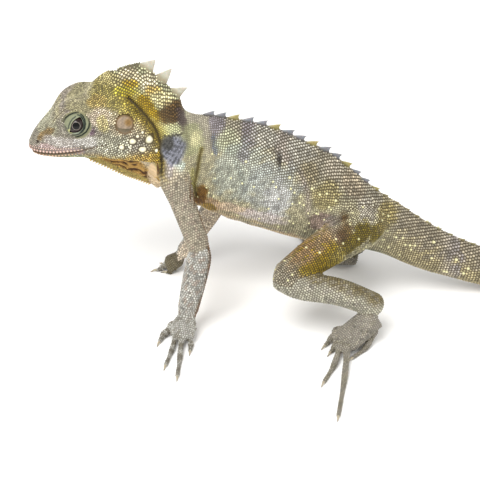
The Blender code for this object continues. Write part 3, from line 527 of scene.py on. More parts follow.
def trunkSizes(places, around):
    # scales grow from flank to back and along the tail, and stay under a ninth of a thin tail's girth
    ribs = places[:, None] + np.zeros((1, around))
    turn = turnOf(np.arange(around) / around)[None]
    back = coarseBack(turn, ribs)
    size = 0.74 + 0.66 * back + 0.3 * smoothStep(0.66, 0.8, turn)
    neck = (1 - smoothStep(6.2, 7.4, ribs)) * (1 - smoothStep(0.38, 0.55, turn))
    size = size + 0.12 * neck + 0.4 * smoothStep(17, 22, ribs) * (1 - back)
    half = splineAt(allRibs, places)[:, 4:5]
    return np.minimum(size, 0.30 * half + 0.42)


def headSizes(grid):
    # fine on snout and face, coarser over temple and jaw, coarsest on the crest
    place = headPlaces(grid.reshape(-1, 3))
    a, c = place[:, 0], place[:, 2]
    size = 0.68 + 0.26 * smoothStep(24, 34, a) + 0.6 * smoothStep(33, 42, a) * smoothStep(14, 20, c)
    return size.reshape(grid.shape[:2])


scaleSizes = {"pouch": 0.95, "thigh": 1.0, "limb": 1.1, "palm": 0.95, "digit": 0.98}  # mm


def buildForms():
    # every form: name, grid, scale size at each point of it, and rectangle on the unwrap; where forms
    # meet, the later one's scales give way
    forms = []

    def add(name, grid, size, left, low, wide, high):
        size = np.broadcast_to(size, grid.shape[:2]).astype(float)
        forms.append({"name": name, "grid": grid, "size": size,
                      "atlas": (left, low, left + wide, low + high)})

    places = np.linspace(0, len(allRibs) - 1, trunkForm["rings"])
    around = trunkForm["around"]
    add("trunk", trunkGrid(places, around), trunkSizes(places, around), 0.01, 0.01, 0.98, 0.47)
    grid = headGrid(headForm["rings"], headForm["around"])
    add("head", grid, headSizes(grid), 0.01, 0.50, 0.26, 0.22)
    add("pouch", pouchGrid(), scaleSizes["pouch"], 0.01, 0.74, 0.13, 0.12)
    for column, (name, stations) in enumerate(limbForm.items()):
        size = scaleSizes["thigh" if "thigh" in name else "limb"]
        add(name, tubeGrid(stations, 56, 60, roundEnds=(True, True)), size, 0.29 + 0.088 * column, 0.50,
            0.085, 0.16)
    claws = {}
    for row, (name, paw) in enumerate(pawForm.items()):
        palm, fingers, claws[name] = pawGrids(paw)
        low = 0.68 + 0.075 * row
        add(name, palm, scaleSizes["palm"], 0.29, low, 0.09, 0.07)
        for number, finger in enumerate(fingers):
            add(f"{name}Digit{number + 1}", finger, scaleSizes["digit"], 0.40 + 0.11 * number, low, 0.1, 0.07)
    return forms, claws


forms, clawRoots = buildForms()
formNames = [form["name"] for form in forms]
print("forms", len(forms))


def namesOf(label):
    # the name of each point's form
    return np.array(formNames)[label]


def perKind(values, label, otherwise):
    # one value a point by the kind of its form: its name up to Left or Right
    kinds = [name.split("Left")[0].split("Right")[0] for name in formNames]
    return np.array([values.get(kind, otherwise) for kind in kinds])[label]


# One skin over all forms

skinSettings = {
    "voxel": 0.40,  # mm, fine enough for a 1.5 mm toe
    "smoothing": 6,
    # mm that the skin lies inside the scales' tops, and how much of it on digits
    "coatDepth": 0.16, "digitShare": 0.4,
    "triangles": 190000, "lowest": 0.02,  # mm over the floor
    "jointRounds": 110, "jointStep": 0.6,
}


def evaluated(made):
    # the modifiers worked into the mesh
    mesh = bpy.data.meshes.new_from_object(made.evaluated_get(bpy.context.evaluated_depsgraph_get()))
    made.modifiers.clear()
    old, made.data = made.data, mesh
    bpy.data.meshes.remove(old)


def inMillimetres(made):
    made.data.transform(Matrix.Scale(1 / mm, 4))


def readMesh(mesh, corners):
    points = np.empty(len(mesh.vertices) * 3, np.float32)
    mesh.vertices.foreach_get("co", points)
    loops = np.empty(len(mesh.loops), np.int32)
    mesh.loops.foreach_get("vertex_index", loops)
    return points.reshape(-1, 3).astype(float), loops.reshape(-1, corners)


def pointNormals(points, faces):
    # the sum of the normals of the faces round each point, each as long as its face is large
    corner, corners = points[faces], faces.shape[1]
    if corners == 4:
        normal = np.cross(corner[:, 2] - corner[:, 0], corner[:, 3] - corner[:, 1])
    else:
        normal = np.cross(corner[:, 1] - corner[:, 0], corner[:, 2] - corner[:, 0])
    return unit(np.stack([np.bincount(faces.ravel(), np.repeat(normal[:, k], corners), len(points))
                          for k in range(3)], 1))


def edgesOf(faces):
    # each edge once, as two indices
    corners = faces.shape[1]
    pairs = np.vstack([np.stack([faces[:, k], faces[:, (k + 1) % corners]], 1) for k in range(corners)])
    return np.unique(np.sort(pairs, axis=1), axis=0)


def neighbourSums(points, edges):
    # the sum of each point's neighbours
    return np.stack([np.bincount(edges[:, 0], points[edges[:, 1], k], len(points))
                     + np.bincount(edges[:, 1], points[edges[:, 0], k], len(points)) for k in range(3)], 1)


def smoothPoints(points, edges, rounds):
    # Taubin smoothing: half a step to the neighbours' mean, then slightly more than half back
    degree = np.bincount(edges.ravel(), minlength=len(points))[:, None]
    for share in (0.5, -0.52) * rounds:
        points = points + share * (neighbourSums(points, edges) / degree - points)
    return points


jointReach = {  # mm to either side that the skin is rounded where two forms meet
    "Digit": 0.8, "thigh": 7.0, "upperArm": 5.5, "shin": 3.2, "forearm": 3.2, "hand": 2.4, "foot": 2.8,
    "head": 2.0, "pouch": 0.7,
}


def roundJoints(points, edges):
    # plain smoothing, full where two forms meet and fading out over each joint's reach
    grids = [form["grid"].reshape(-1, 3) for form in forms]
    owner = np.concatenate([np.full(len(grid), number) for number, grid in enumerate(grids)])
    label = owner[nearestOf(treeOf(np.vstack(grids)), points, 1)[0][:, 0]]
    reach = np.array([next((r for key, r in jointReach.items() if key in form["name"]), 1.0)
                      for form in forms])
    meets = edges[label[edges[:, 0]] != label[edges[:, 1]]]
    later = reach[np.maximum(label[meets[:, 0]], label[meets[:, 1]])]
    weight = np.zeros(len(points))
    for size in np.unique(later):
        _, distance = nearestOf(treeOf(points[meets[later == size, 0]]), points, 1)
        weight = np.maximum(weight, 1 - smoothStep(0.25 * size, size, distance[:, 0]))
    moving = np.flatnonzero(weight > 0.01)
    live = edges[(weight[edges] > 0.01).any(axis=1)]
    degree = np.maximum(np.bincount(live.ravel(), minlength=len(points)), 1)[:, None]
    for _ in range(skinSettings["jointRounds"]):
        mean = (neighbourSums(points, live) / degree)[moving]
        points[moving] += skinSettings["jointStep"] * weight[moving, None] * (mean - points[moving])
    return points


def voxelSkin():
    # all forms joined, remeshed as one closed surface and smoothed
    shapes = [closedLoft(form["grid"]) for form in forms]
    a, b, c = eyeForm["centre"]
    shapes += [ballShape(headPoint(a, b * side, c), eyeForm["lidRadius"]) for side in (1, -1)]
    made = makeObject("skin", *joinShapes(shapes))
    inMillimetres(made)
    change = made.modifiers.new("voxels", "REMESH")
    change.mode, change.voxel_size = "VOXEL", skinSettings["voxel"]
    evaluated(made)
    points, faces = readMesh(made.data, 4)
    bpy.data.objects.remove(made)
    edges = edgesOf(faces)
    points = smoothPoints(points - shift, edges, skinSettings["smoothing"])
    return roundJoints(points, edges), faces


def treeOf(points):
    tree = KDTree(len(points))
    for index, point in enumerate(points):
        tree.insert(point, index)
    tree.balance()
    return tree


def nearestOf(tree, points, count):
    # indices and distances of the nearest points, the point itself among them
    found = [tree.find_n(point, count) for point in points]
    index = np.array([[f[1] for f in row] for row in found])
    distance = np.array([[f[2] for f in row] for row in found])
    return index, distance


def onSurface(tree, points):
    # the nearest place on a surface, its normal, and the distance
    found = [tree.find_nearest(point) for point in points]
    return (np.array([f[0] for f in found]), np.array([f[1] for f in found]), np.array([f[3] for f in found]))


def castOn(tree, starts, ways):
    # where rays meet a surface; a miss gives nan
    found = [tree.ray_cast(Vector(start), Vector(way)) for start, way in zip(starts, ways)]
    return np.array([f[0] if f[0] is not None else (np.nan,) * 3 for f in found])


skinPoints, skinFaces = voxelSkin()
print("skin", len(skinPoints), "points")

# Roots of the scales


rootSettings = {
    "reach": 0.55,  # mm that a root may lie off the skin
    # the rest as shares of a scale's size: from row to row, the least gaps to another form's scale and to the
    # own form's, from where a place is bare, and the gap between scales that fill it
    "rowPitch": 0.87, "formGap": 0.72, "leastGap": 0.56, "bareFrom": 0.84, "fillGap": 0.8, "fillRounds": 3,
    "loose": 0.05, "looseFlank": 0.17, "looseFace": 0.08, "push": 0.35,  # random shift, and the step apart
}


def latticeOn(form, number):
    # staggered rows along a form, a row's pitch apart, each with as many scales as fit its girth
    grid, size = form["grid"], form["size"]
    rings, around = grid.shape[:2]
    run = np.linalg.norm(np.diff(grid, axis=0), axis=2) / (0.5 * (size[1:] + size[:-1]))
    walked = np.concatenate([[0], np.cumsum(np.median(run, axis=1))])
    pitch = rootSettings["rowPitch"]
    count = max(int(walked[-1] / pitch), 2)
    places = np.interp((np.arange(count) + 0.5) * pitch, walked, np.arange(rings))
    rows = []
    for row, place in enumerate(places):
        i = min(int(place), rings - 2)
        t = place - i
        ring, sizes = (1 - t) * grid[i] + t * grid[i + 1], (1 - t) * size[i] + t * size[i + 1]
        ring, sizes, along = (np.concatenate([v, v[:1]]) for v in (ring, sizes, grid[i + 1] - grid[i]))
        steps = np.linalg.norm(np.diff(ring, axis=0), axis=1) / (0.5 * (sizes[1:] + sizes[:-1]))
        total = np.concatenate([[0], np.cumsum(steps)])
        many = max(3, round(total[-1]))
        where = np.interp((np.arange(many) + 0.5 * (row % 2)) / many * total[-1], total,
                          np.arange(around + 1))
        pick = lambda values: np.stack([np.interp(where, np.arange(around + 1), values[:, k])
                                        for k in range(3)], 1)
        rows.append(np.column_stack([pick(ring), pick(along), np.full(many, place / (rings - 1)),
                                     where / around,
                                     np.interp(where, np.arange(around + 1), sizes), np.full(many, number)]))
    return np.vstack(rows)


def scaleRoots(surface):
    # columns: point 0-2, way back 3-5, share along 6, share round 7, size 8, form 9
    form = rootSettings
    roots = np.vstack([latticeOn(each, number) for number, each in enumerate(forms)])
    place, _, away = onSurface(surface, roots[:, :3])
    roots = roots[away < form["reach"]]
    roots[:, :3] = place[away < form["reach"]]
    # where two forms meet, the later form's scales give way, and none stand closer than half a scale
    index, distance = nearestOf(treeOf(roots[:, :3]), roots[:, :3], 7)
    gap = distance / roots[:, 8:9]
    other = roots[index, 9] != roots[:, 9:10]
    own = np.arange(len(roots))[:, None]
    drop = ((gap < np.where(other, form["formGap"], form["leastGap"])) & (index < own)).any(axis=1)
    roots = roots[~drop]
    # bare places are filled from the skin's own points
    draw = np.random.default_rng(5)
    for _ in range(form["fillRounds"]):
        index, distance = nearestOf(treeOf(roots[:, :3]), skinPoints, 1)
        index, distance = index[:, 0], distance[:, 0]
        bare = np.flatnonzero(distance > form["bareFrom"] * roots[index, 8])
        if not len(bare):
            break
        draw.shuffle(bare)
        near, far = nearestOf(treeOf(skinPoints[bare]), skinPoints[bare], min(14, len(bare)))
        first = ((near >= np.arange(len(bare))[:, None])
                 | (far > form["fillGap"] * roots[index[bare], 8][:, None])).all(axis=1)
        added = roots[index[bare[first]]].copy()
        added[:, :3] = skinPoints[bare[first]]
        roots = np.vstack([roots, added])
    return roots


def relaxRoots(roots, surface, rounds=3):
    # shifted at random, most on the flank; then each root steps away from those closer than a scale's size
    draw = np.random.default_rng(11)
    turn = turnOf(roots[:, 7])
    flank = ((roots[:, 9] == 0) * (roots[:, 6] < 0.34) * smoothStep(0.3, 0.45, turn)
             * (1 - smoothStep(0.6, 0.72, turn)))
    form = rootSettings
    loose = (form["loose"] + form["looseFlank"] * flank + form["looseFace"]
             * (roots[:, 9] == formNames.index("head")))
    roots[:, :3] += draw.normal(size=(len(roots), 3)) * (loose * roots[:, 8])[:, None]
    for _ in range(rounds):
        index, distance = nearestOf(treeOf(roots[:, :3]), roots[:, :3], 7)
        away = roots[:, None, :3] - roots[index, :3]
        size = 0.5 * (roots[index, 8] + roots[:, 8:9])
        push = np.clip(1 - distance / size, 0, 0.6)[..., None] * away / np.maximum(distance, 0.05)[..., None]
        roots[:, :3] += form["push"] * push.sum(axis=1) * roots[:, 8:9]
        roots[:, :3], _, _ = onSurface(surface, roots[:, :3])
    return roots


surface = BVHTree.FromPolygons(skinPoints.tolist(), skinFaces.tolist())
roots = relaxRoots(scaleRoots(surface), surface)
print("scale roots", len(roots))


# Folds, lids, lips and pits worked into the skin

foldForm = {
    # depth and half width in mm, then x and z of the fold on both sides
    "neck": (0.8, 0.75, ((-43.3, 91.5), (-39.8, 88.4), (-36.8, 85.1), (-34.1, 81.6), (-32.6, 78.8),
                         (-31.1, 74.1),
                         (-30.8, 69.0), (-30.9, 63.5), (-31.0, 57.8))),
    "neckFront": (0.5, 0.5, ((-40.6, 87.6), (-38.6, 85.6), (-35.4, 81.0), (-32.9, 76.6))),
    "shoulder": (0.6, 0.75, ((-15.1, 70.5), (-15.9, 68.0), (-16.7, 62.7), (-18.0, 57.4), (-17.3, 51.0))),
    "shoulderFront": (0.4, 0.5, ((-18.6, 63.0), (-19.3, 57.4), (-19.0, 52.0))),
    "groin": (0.45, 0.6, ((34.3, 41.4), (37.2, 42.2), (40.1, 42.4))),
    "jaw": (0.3, 0.4, ((-55.6, 74.9), (-53.3, 73.8), (-50.6, 72.7))),
    "brow": (0.35, 0.35, ((-73.3, 81.5), (-71.5, 84.2), (-70.2, 85.7), (-68.9, 87.2), (-67.6, 88.6),
                          (-65.2, 89.8))),
    "flankOne": (0.35, 0.9, ((-2.0, 66.0), (1.0, 60.0), (1.5, 53.5))),
    "flankTwo": (0.3, 0.9, ((12.0, 62.0), (15.5, 56.0), (16.5, 48.0))),
    "flankThree": (0.4, 1.0, ((24.0, 60.0), (27.0, 52.5), (27.0, 44.5))),
    "flankFour": (0.3, 0.9, ((-8.5, 60.0), (-8.0, 54.0), (-9.0, 49.0))),
}
pitForm = {
    "nostrilRadius": 0.55, "nostrilDepth": 0.9, "earDepth": 0.75, "mouthDepth": 0.5, "mouthHalf": 0.26,
    "mouthEnd": 22.5,  # where the lips end, measured back from the snout; the mouth line goes on, fainter
}


def pouchWave(points):
    # wrinkles of the pouch: the larger of two sines of the bearing from a place under the chin, so that they
    # fan out, bent by a slow ripple
    bearing = np.arctan2(points[:, 2] - 66, points[:, 0] + 74)
    return np.maximum(np.sin(bearing * 88 + 1.8 * ripple(points, 6, 21)),
                      0.7 * np.sin(bearing * 61 + 2.6 * ripple(points, 4, 23)))


def nearestRoot(points):
    # the index of each point's nearest scale root, whose form and place on it the point takes
    return nearestOf(rootTree, points, 1)[0][:, 0]


def fromFeature(place, key):
    # mm to the middle of the nostril or ear, seen from the side
    a, _, c = headForm[key]
    return np.linalg.norm(place[:, (0, 2)] - (a, c), axis=1)


def overPouchEdge(points, slope=0.49):
    # mm above the line that the pouch's lower edge follows
    return points[:, 2] - (49 + (-points[:, 0] - 33) * slope)


def sculpt(points, normals, label):
    # each feature moves the skin along its normal, by a bell curve of the distance to its line or centre
    move = np.zeros(len(points))
    name = namesOf(label)
    onBody = (name == "trunk") | (name == "head") | np.char.startswith(name, "upperArm")
    near = np.flatnonzero(onBody)
    for depth, half, line in foldForm.values():
        distance = lineDistance(points[near][:, (0, 2)], line)
        move[near] -= depth * bell(distance, half) - 0.25 * depth * bell(distance - 1.7 * half, half * 0.8)
    near = np.flatnonzero(name == "head")
    place = headPlaces(points[near])
    mouth = lineDistance(place[:, (0, 2)], headForm["mouthLine"])
    form, end = pitForm, pitForm["mouthEnd"]
    reach = (1 - 0.75 * smoothStep(end - 1, end + 2, place[:, 0])) * (1 - smoothStep(31.5, 33.5, place[:, 0]))
    move[near] += reach * (0.12 * bell(mouth - 0.95, 0.45) - form["mouthDepth"]
                           * bell(mouth, form["mouthHalf"]))
    hole = fromFeature(place, "nostril")
    move[near] += 0.14 * bell(hole - 1.0, 0.35) - form["nostrilDepth"] * bell(hole, form["nostrilRadius"])
    rim = fromFeature(place, "ear") / headForm["earRadius"]
    move[near] += 0.12 * bell(rim - 1.12, 0.14) - form["earDepth"] * (1 - smoothStep(0.86, 1.04, rim))
    near = np.flatnonzero(name == "pouch")
    high = smoothStep(0.5, 2.5, overPouchEdge(points[near], 0.5))
    move[near] += (0.28 * pouchWave(points[near]) + 0.16 * ripple(points[near], 2.2, 22)) * high
    # slack skin of the flanks
    near = np.flatnonzero(name == "trunk")
    flank = (smoothStep(30, 38, points[near, 2]) * (1 - smoothStep(66, 74, points[near, 2]))
             * (points[near, 0] < 60))
    move[near] += flank * (0.22 * ripple(points[near] * (1, 1, 0.6), 7.5, 31)
                           + 0.1 * ripple(points[near], 3.0, 32))
    return points + normals * move[:, None]


def openSockets(points):
    # under the lids the skin sinks to a socket that clears the eye
    points = points.copy()
    for side in (1, -1):
        local, centre = eyePlaces(points, side), eyeAxes(side)[0]
        near = np.flatnonzero((np.abs(local) < 8).all(axis=1) & (local[:, 2] > 1.2))
        reach = np.hypot(local[near, 0], local[near, 1])
        radius = np.linalg.norm(local[near], axis=1)
        deep = (1 - smoothStep(5.0, 5.7, reach)) * np.maximum(radius - (eyeForm["ballRadius"] - 0.7), 0)
        points[near] -= unit(points[near] - centre) * deep[:, None]
    return points


rootTree = treeOf(roots[:, :3])
skinLabel = roots[nearestRoot(skinPoints), 9].astype(int)
skinNormals = pointNormals(skinPoints, skinFaces)
share = np.where(np.char.find(namesOf(skinLabel), "Digit") > 0, skinSettings["digitShare"], 1)[:, None]
skinPoints = sculpt(skinPoints - skinNormals * skinSettings["coatDepth"] * share, skinNormals, skinLabel)
skinPoints[:, 2] = np.maximum(skinPoints[:, 2], skinSettings["lowest"])
print("skin sculpted")

# Markings

# gap and crestGap are the hide between the scales, browner, with painted shade in the gaps
bodyColours = {  # scale tops, as sRGB
    # bellyRear, darker and greener, is partly the belly's own colour and partly painted shade of the rear
    # underside
    "back": "#a19b89", "flank": "#b4ae8f", "belly": "#ceb894", "bellyRear": "#8b9179",
    "neckTop": "#b7b894", "neckSide": "#d6c7ac", "throat": "#b99551",
    "tailTop": "#9d9480", "tailSide": "#a99e7a", "tailBelly": "#b9ad94", "tailBand": "#a19ba0",
    "headTop": "#b8b18f", "headSide": "#9d988a", "headRear": "#ccc0a3", "jaw": "#c5a556",
    "pouch": "#b08a46", "pouchDark": "#452a0a", "pouchPale": "#dcc5a3", "pouchEdge": "#a3904e",
    "armFront": "#a59d8a", "armRear": "#522e10", "armSpot": "#8d7e71", "hand": "#b3b2ab",
    "handDark": "#686255",
    "thighTop": "#a38459", "thighRear": "#8e7605", "shinTop": "#b0ad9b", "shinRear": "#726746",
    "shinSpot": "#928d83", "foot": "#979287", "footRear": "#8b8675",
    # innerLegShade is painted shade on the inner side of the legs, and farHandShade painted shade over the
    # far hand
    "gap": "#4c3c22", "crestGap": "#75682c", "armInner": "#ecdbc3", "innerLegShade": "#413a1a", "knee": "#9e9784",
    "farHandShade": "#4a3f20",
}
markings = (
    # x, z, half length, half height in mm, tilt in degrees, colour, strength; both sides alike
    (-76.7, 80.1, 6.3, 4.6, -45, "#bab99e", 0.8),  # grey snout
    (-65.5, 89.9, 7.8, 5.5, -30, "#9f968f", 0.8),  # forehead
    (-61.7, 89.6, 5.4, 3.2, -10, "#a29d72", 0.7),  # brow
    (-51.0, 93.2, 7.0, 4.5, 0, "#9d914c", 0.85),  # olive temple
    (-55.2, 90.6, 3.9, 2.3, 0, "#bba25e", 0.7),  # brown in it
    (-49.5, 97.5, 5.4, 2.7, -10, "#c1b57d", 0.8),
    (-54.8, 85.3, 4.7, 3.6, 0, "#deccb6", 0.8),  # pink cheek
    (-53.3, 83.2, 2.3, 3.2, 0, "#fff292", 0.5),  # orange in it
    (-58.1, 80.0, 1.9, 1.8, 0, "#694969", 0.6),  # behind the eye
    (-76.9, 75.6, 4.3, 1.5, 40, "#937749", 0.8),  # before the eye
    (-70.4, 73.6, 7.1, 2.3, 0, "#dad4d0", 0.8),  # below the eye
    (-58.4, 75.1, 5.5, 2.3, 0, "#fffefb", 0.7),
    (-74.7, 69.9, 6.3, 1.8, -5, "#d1b8b6", 0.9),  # lips
    (-65.8, 70.4, 5.5, 1.6, 0, "#ebd1d2", 0.8),
    (-68.7, 68.2, 11.8, 1.4, 0, "#94a794", 0.6),  # chin
    (-48.5, 74.2, 7.0, 5.5, 0, "#d1d2ba", 0.7),  # jaw's corner
    (-45.4, 84.7, 3.9, 4.5, 0, "#a4977c", 0.7),  # round the ear
    (-43.2, 88.0, 4.7, 3.6, -30, "#bbaf60", 0.8),  # behind the ear
    (-42.5, 99.5, 5.0, 2.7, -15, "#eadeb8", 0.9),  # crest
    (-42.1, 96.3, 3.1, 1.6, -5, "#bfa029", 0.9),  # first blotch
    (-44.9, 93.7, 5.4, 1.8, 0, "#c2ba38", 0.8),
    (-35.1, 97.5, 3.9, 3.6, 40, "#f1e8c4", 0.9),  # white of the crest
    (-33.3, 93.3, 3.5, 1.8, -10, "#ddbf69", 0.9),  # second blotch
    (-29.8, 89.9, 5.1, 2.5, -12, "#f3eab1", 0.95),  # pale yellow below it
    (-36.0, 88.3, 2.2, 6.8, 40, "#987b0b", 0.95),  # ochre band
    (-27.2, 84.6, 4.3, 4.6, -40, "#584121", 0.95),  # brown hollow
    (-22.6, 80.5, 1.6, 5.5, 20, "#4c3f41", 0.8),
    (-28.7, 78.5, 4.7, 2.7, 0, "#c8cb9e", 0.95),  # yellow above the dark patch
    (-19.5, 73.4, 5.1, 6.0, 0, "#a2a57a", 0.8),  # shoulder
    (-17.5, 74.0, 2.0, 2.8, 0, "#d9d4a5", 0.8),
    (-28.1, 65.6, 2.4, 3.6, 0, "#a6abf2", 0.8),
    (-24.2, 65.0, 2.4, 2.4, 0, "#cfded4", 0.8),
    (-9.2, 78.7, 3.5, 4.6, 0, "#8a848d", 0.85),  # first saddle
    (-10.0, 71.8, 0.9, 4.1, 8, "#626977", 0.85),
    (3.7, 74.9, 3.2, 6.0, -5, "#8e8790", 0.8),  # second saddle
    (1.4, 68.0, 2.4, 2.8, 0, "#5f4a5c", 0.7),
    (17.6, 69.2, 3.6, 6.5, 15, "#a9a098", 0.8),  # third saddle
    (15.6, 64.4, 1.0, 2.8, 0, "#0f0906", 0.85),
    (27.6, 60.2, 2.8, 5.6, 25, "#958b6f", 0.8),  # fourth saddle
    (37.3, 59.7, 4.0, 3.3, -40, "#cbc1ae", 0.7),
    (8.9, 65.9, 4.7, 3.7, 0, "#cfc6a1", 0.6),
    (-4.5, 73.0, 4.7, 4.6, 0, "#c6cca9", 0.7),
    (8.9, 73.9, 5.5, 3.7, -15, "#bfbeb5", 0.7),
    (24.0, 67.7, 6.3, 4.2, -25, "#b8b6ab", 0.8),
    (0.2, 61.9, 11.0, 11.0, 0, "#bcc7c1", 0.6),  # grey-green flank
    (12.9, 55.4, 10.3, 11.1, 0, "#b5bbb9", 0.7),
    (14.9, 50.6, 5.6, 6.9, 0, "#dadbde", 0.6),
    (-11.0, 47.5, 5.2, 3.3, -10, "#c7a47b", 0.85),  # orange front of the belly
    (-3.0, 46.5, 8.0, 2.3, -10, "#dec6ab", 0.8),
    (-15.6, 51.0, 2.5, 7.0, -14, "#6d460c", 0.9),  # armpit
    (-13.0, 45.3, 3.2, 2.8, 0, "#947517", 0.7),
    (9.0, 42.8, 9.6, 2.8, -10, "#ece0e2", 0.7),
    (6.2, 37.1, 16.1, 1.2, -10, "#a7a291", 0.7),
    (34.4, 50.5, 6.0, 5.1, 0, "#a89c6a", 0.8),  # olive rear flank
    (41.6, 40.0, 3.6, 3.4, 0, "#422505", 0.8),  # olive over the hip
    (48.5, 38.6, 4.0, 3.2, -20, "#564705", 0.8),
    (54.4, 37.0, 3.2, 3.6, 0, "#645505", 0.8),
    (33.0, 40.3, 5.6, 3.7, -20, "#9b827d", 0.7),
    (50.8, 43.9, 4.0, 2.8, -40, "#c1bbac", 0.9),  # lilac hip
    (45.1, 52.6, 6.4, 3.3, -40, "#bdac92", 0.6),
    (59.2, 39.2, 4.9, 4.2, 0, "#a3945c", 0.8),  # olive root of the tail
    (46.2, 37.6, 6.4, 3.2, 25, "#6f6112", 0.95),
)
lateMarkings = (  # the same, over the folds' colours
    (-26.3, 71.2, 4.7, 5.7, 0, "#7a7c86", 1.0),  # slate patch
    (-28.2, 73.8, 2.5, 2.4, -20, "#403f3a", 0.85), (-25.9, 76.6, 4.2, 0.5, -4, "#373528", 0.85),
    (-34.6, 59.6, 1.9, 5.4, 0, "#d1b58d", 0.95),  # bare fold behind the pouch
    (-32.4, 61.6, 0.45, 4.6, 0, "#603d16", 0.95),
)
limbColours = {  # colours in front, behind and in spots, and how far to the rear the change starts
    "upperArm": ("armFront", "armRear", "armSpot", 0.35), "forearm": ("hand", "armRear", "armSpot", 0.5),
    "thigh": ("thighTop", "thighRear", "thighRear", -0.25), "shin": ("shinTop", "shinRear", "shinSpot", 0.3),
}
# the dark lines along the neck, neck front and shoulder folds are painted shade in the creases; the rest are
# the skin's own colours
foldColoursAndShades = (  # colour worked along a fold, with its half width in mm and strength
    ("neck", "#a48a1b", 3.2, 0.7), ("neck", "#372c0a", 0.75, 0.95), ("neckFront", "#5d4c05", 1.0, 0.5),
    ("shoulder", "#5c4f11", 0.8, 0.8), ("shoulderFront", "#908a34", 0.9, 0.5),
    ("groin", "#a19c93", 0.8, 0.7), ("brow", "#fcf3c4", 0.5, 0.5), ("flankOne", "#8a9390", 1.0, 0.4),
    ("flankThree", "#b9a9ab", 1.2, 0.4),
)
slatePatch = {"place": (-26.3, 71.2), "long": 4.9, "high": 6.0}  # smooth skin behind the neck fold
throatFold = {"place": (-34.6, 59.4), "long": 2.3, "high": 6.0}  # bare skin behind the pouch


def trunkShares(points, label, along, around):
    # share along and round the trunk for points of every form, from the nearest place on the trunk
    grid = forms[0]["grid"][::3, ::2]
    rings, count = grid.shape[:2]
    other = np.flatnonzero(label != 0)
    index = nearestOf(treeOf(grid.reshape(-1, 3)), points[other], 1)[0][:, 0]
    along, around = along.copy(), around.copy()
    along[other], around[other] = index // count / (rings - 1), index % count / count
    return along, around


def marked(tint, points, rows, rough, onBody):
    # soft ellipses, each laid over the ones before
    for x, z, long, high, tilt, colour, strength in rows:
        s, k = math.sin(math.radians(tilt)), math.cos(math.radians(tilt))
        dx, dz = points[:, 0] - x, points[:, 2] - z
        reach = np.hypot((dx * k + dz * s) / long, (dz * k - dx * s) / high) + rough
        tint = mix(tint, colour, strength * (1 - smoothStep(0.75, 1.25, reach)) * onBody)
    return tint


def trunkTint(points, ribs, turn, mottle, fine):
    # back, flank and belly, blended to the neck in front and to the banded tail behind
    c = bodyColours
    base = mix(c["back"], c["flank"], smoothStep(0.22, 0.42, turn + 0.05 * mottle))
    base = mix(base, c["belly"], smoothStep(0.66, 0.8, turn + 0.04 * mottle))
    base = mix(base, c["bellyRear"], smoothStep(0.66, 0.8, turn) * smoothStep(13, 16, ribs))
    neck = mix(c["neckTop"], c["neckSide"], smoothStep(0.3, 0.5, turn))
    neck = mix(neck, c["throat"], smoothStep(0.7, 0.85, turn))
    base = mix(base, neck, 1 - smoothStep(6.0, 8.0, ribs))
    tail = mix(c["tailTop"], c["tailSide"], smoothStep(0.3, 0.55, turn + 0.1 * fine))
    tail = mix(tail, c["tailBelly"], smoothStep(0.75, 0.9, turn))
    band = (smoothStep(0.1, 0.5, np.sin(2 * pi * (points[:, 0] - 52 + 2.5 * mottle) / 26))
            * (1 - 0.7 * smoothStep(0.5, 0.9, turn)))
    tail = mix(tail, c["tailBand"], 0.75 * band * smoothStep(20, 21.5, ribs))
    return mix(base, tail, smoothStep(17.0, 19.0, ribs))


def headTint(points):
    # side and top of the head, paler behind, and the yellow jaw
    c, place = bodyColours, headPlaces(points)
    head = mix(c["headSide"], c["headTop"], smoothStep(12, 18, place[:, 2]))
    head = mix(head, c["headRear"], smoothStep(30, 36, place[:, 0]) * smoothStep(2, 9, place[:, 2]))
    return mix(head, c["jaw"], 1 - smoothStep(-4, 0, place[:, 2]))


def limbTint(normals, key, isRight, own, mottle, fine):
    # a limb is pale in front and above, darker behind, with brown spots; inside, an arm has its own pale
    # colour and a leg takes painted shade
    front, rear, spot, start = limbColours[key]
    c = bodyColours
    facing = normals[:, 0] * 0.8 - normals[:, 2] * 0.45
    if key == "shin":
        facing = normals[:, 2] * 0.6 + normals[:, 0] * 0.6
    limb = mix(c[front], c[rear], smoothStep(start, start + 0.5, facing + 0.15 * mottle))
    limb = mix(limb, c[spot], 0.6 * smoothStep(0.25, 0.6, fine))
    inner = smoothStep(0.1, 0.6, normals[:, 1] * np.where(isRight, -1, 1))
    limb = mix(limb, c["armInner" if key in ("upperArm", "forearm") else "innerLegShade"], 0.8 * inner)
    if key == "thigh":
        limb = mix(limb, c["knee"], smoothStep(0.78, 0.93, own + 0.03 * fine))
    return limb


def pouchTint(points, fine):
    # dark in the wrinkles' grooves as painted shade, a pale bare fold behind with a dark line before it, and
    # the scales along the edge
    c, x = bodyColours, points[:, 0]
    pouch = mix(c["pouch"], c["pouchDark"], smoothStep(-0.75, 0.35, -pouchWave(points) + 0.3 * fine))
    pouch = mix(pouch, c["pouchPale"], smoothStep(-37.6, -36.4, x + 0.4 * fine))
    pouch = mix(pouch, c["pouchDark"], 0.8 * bell(x + 37.4 + 0.3 * fine, 0.5)
                + 0.7 * smoothStep(-31.6, -30.6, x))
    return mix(pouch, c["pouchEdge"], (1 - smoothStep(2.2, 3.8, overPouchEdge(points)))
               * (1 - smoothStep(-38, -36, x)))


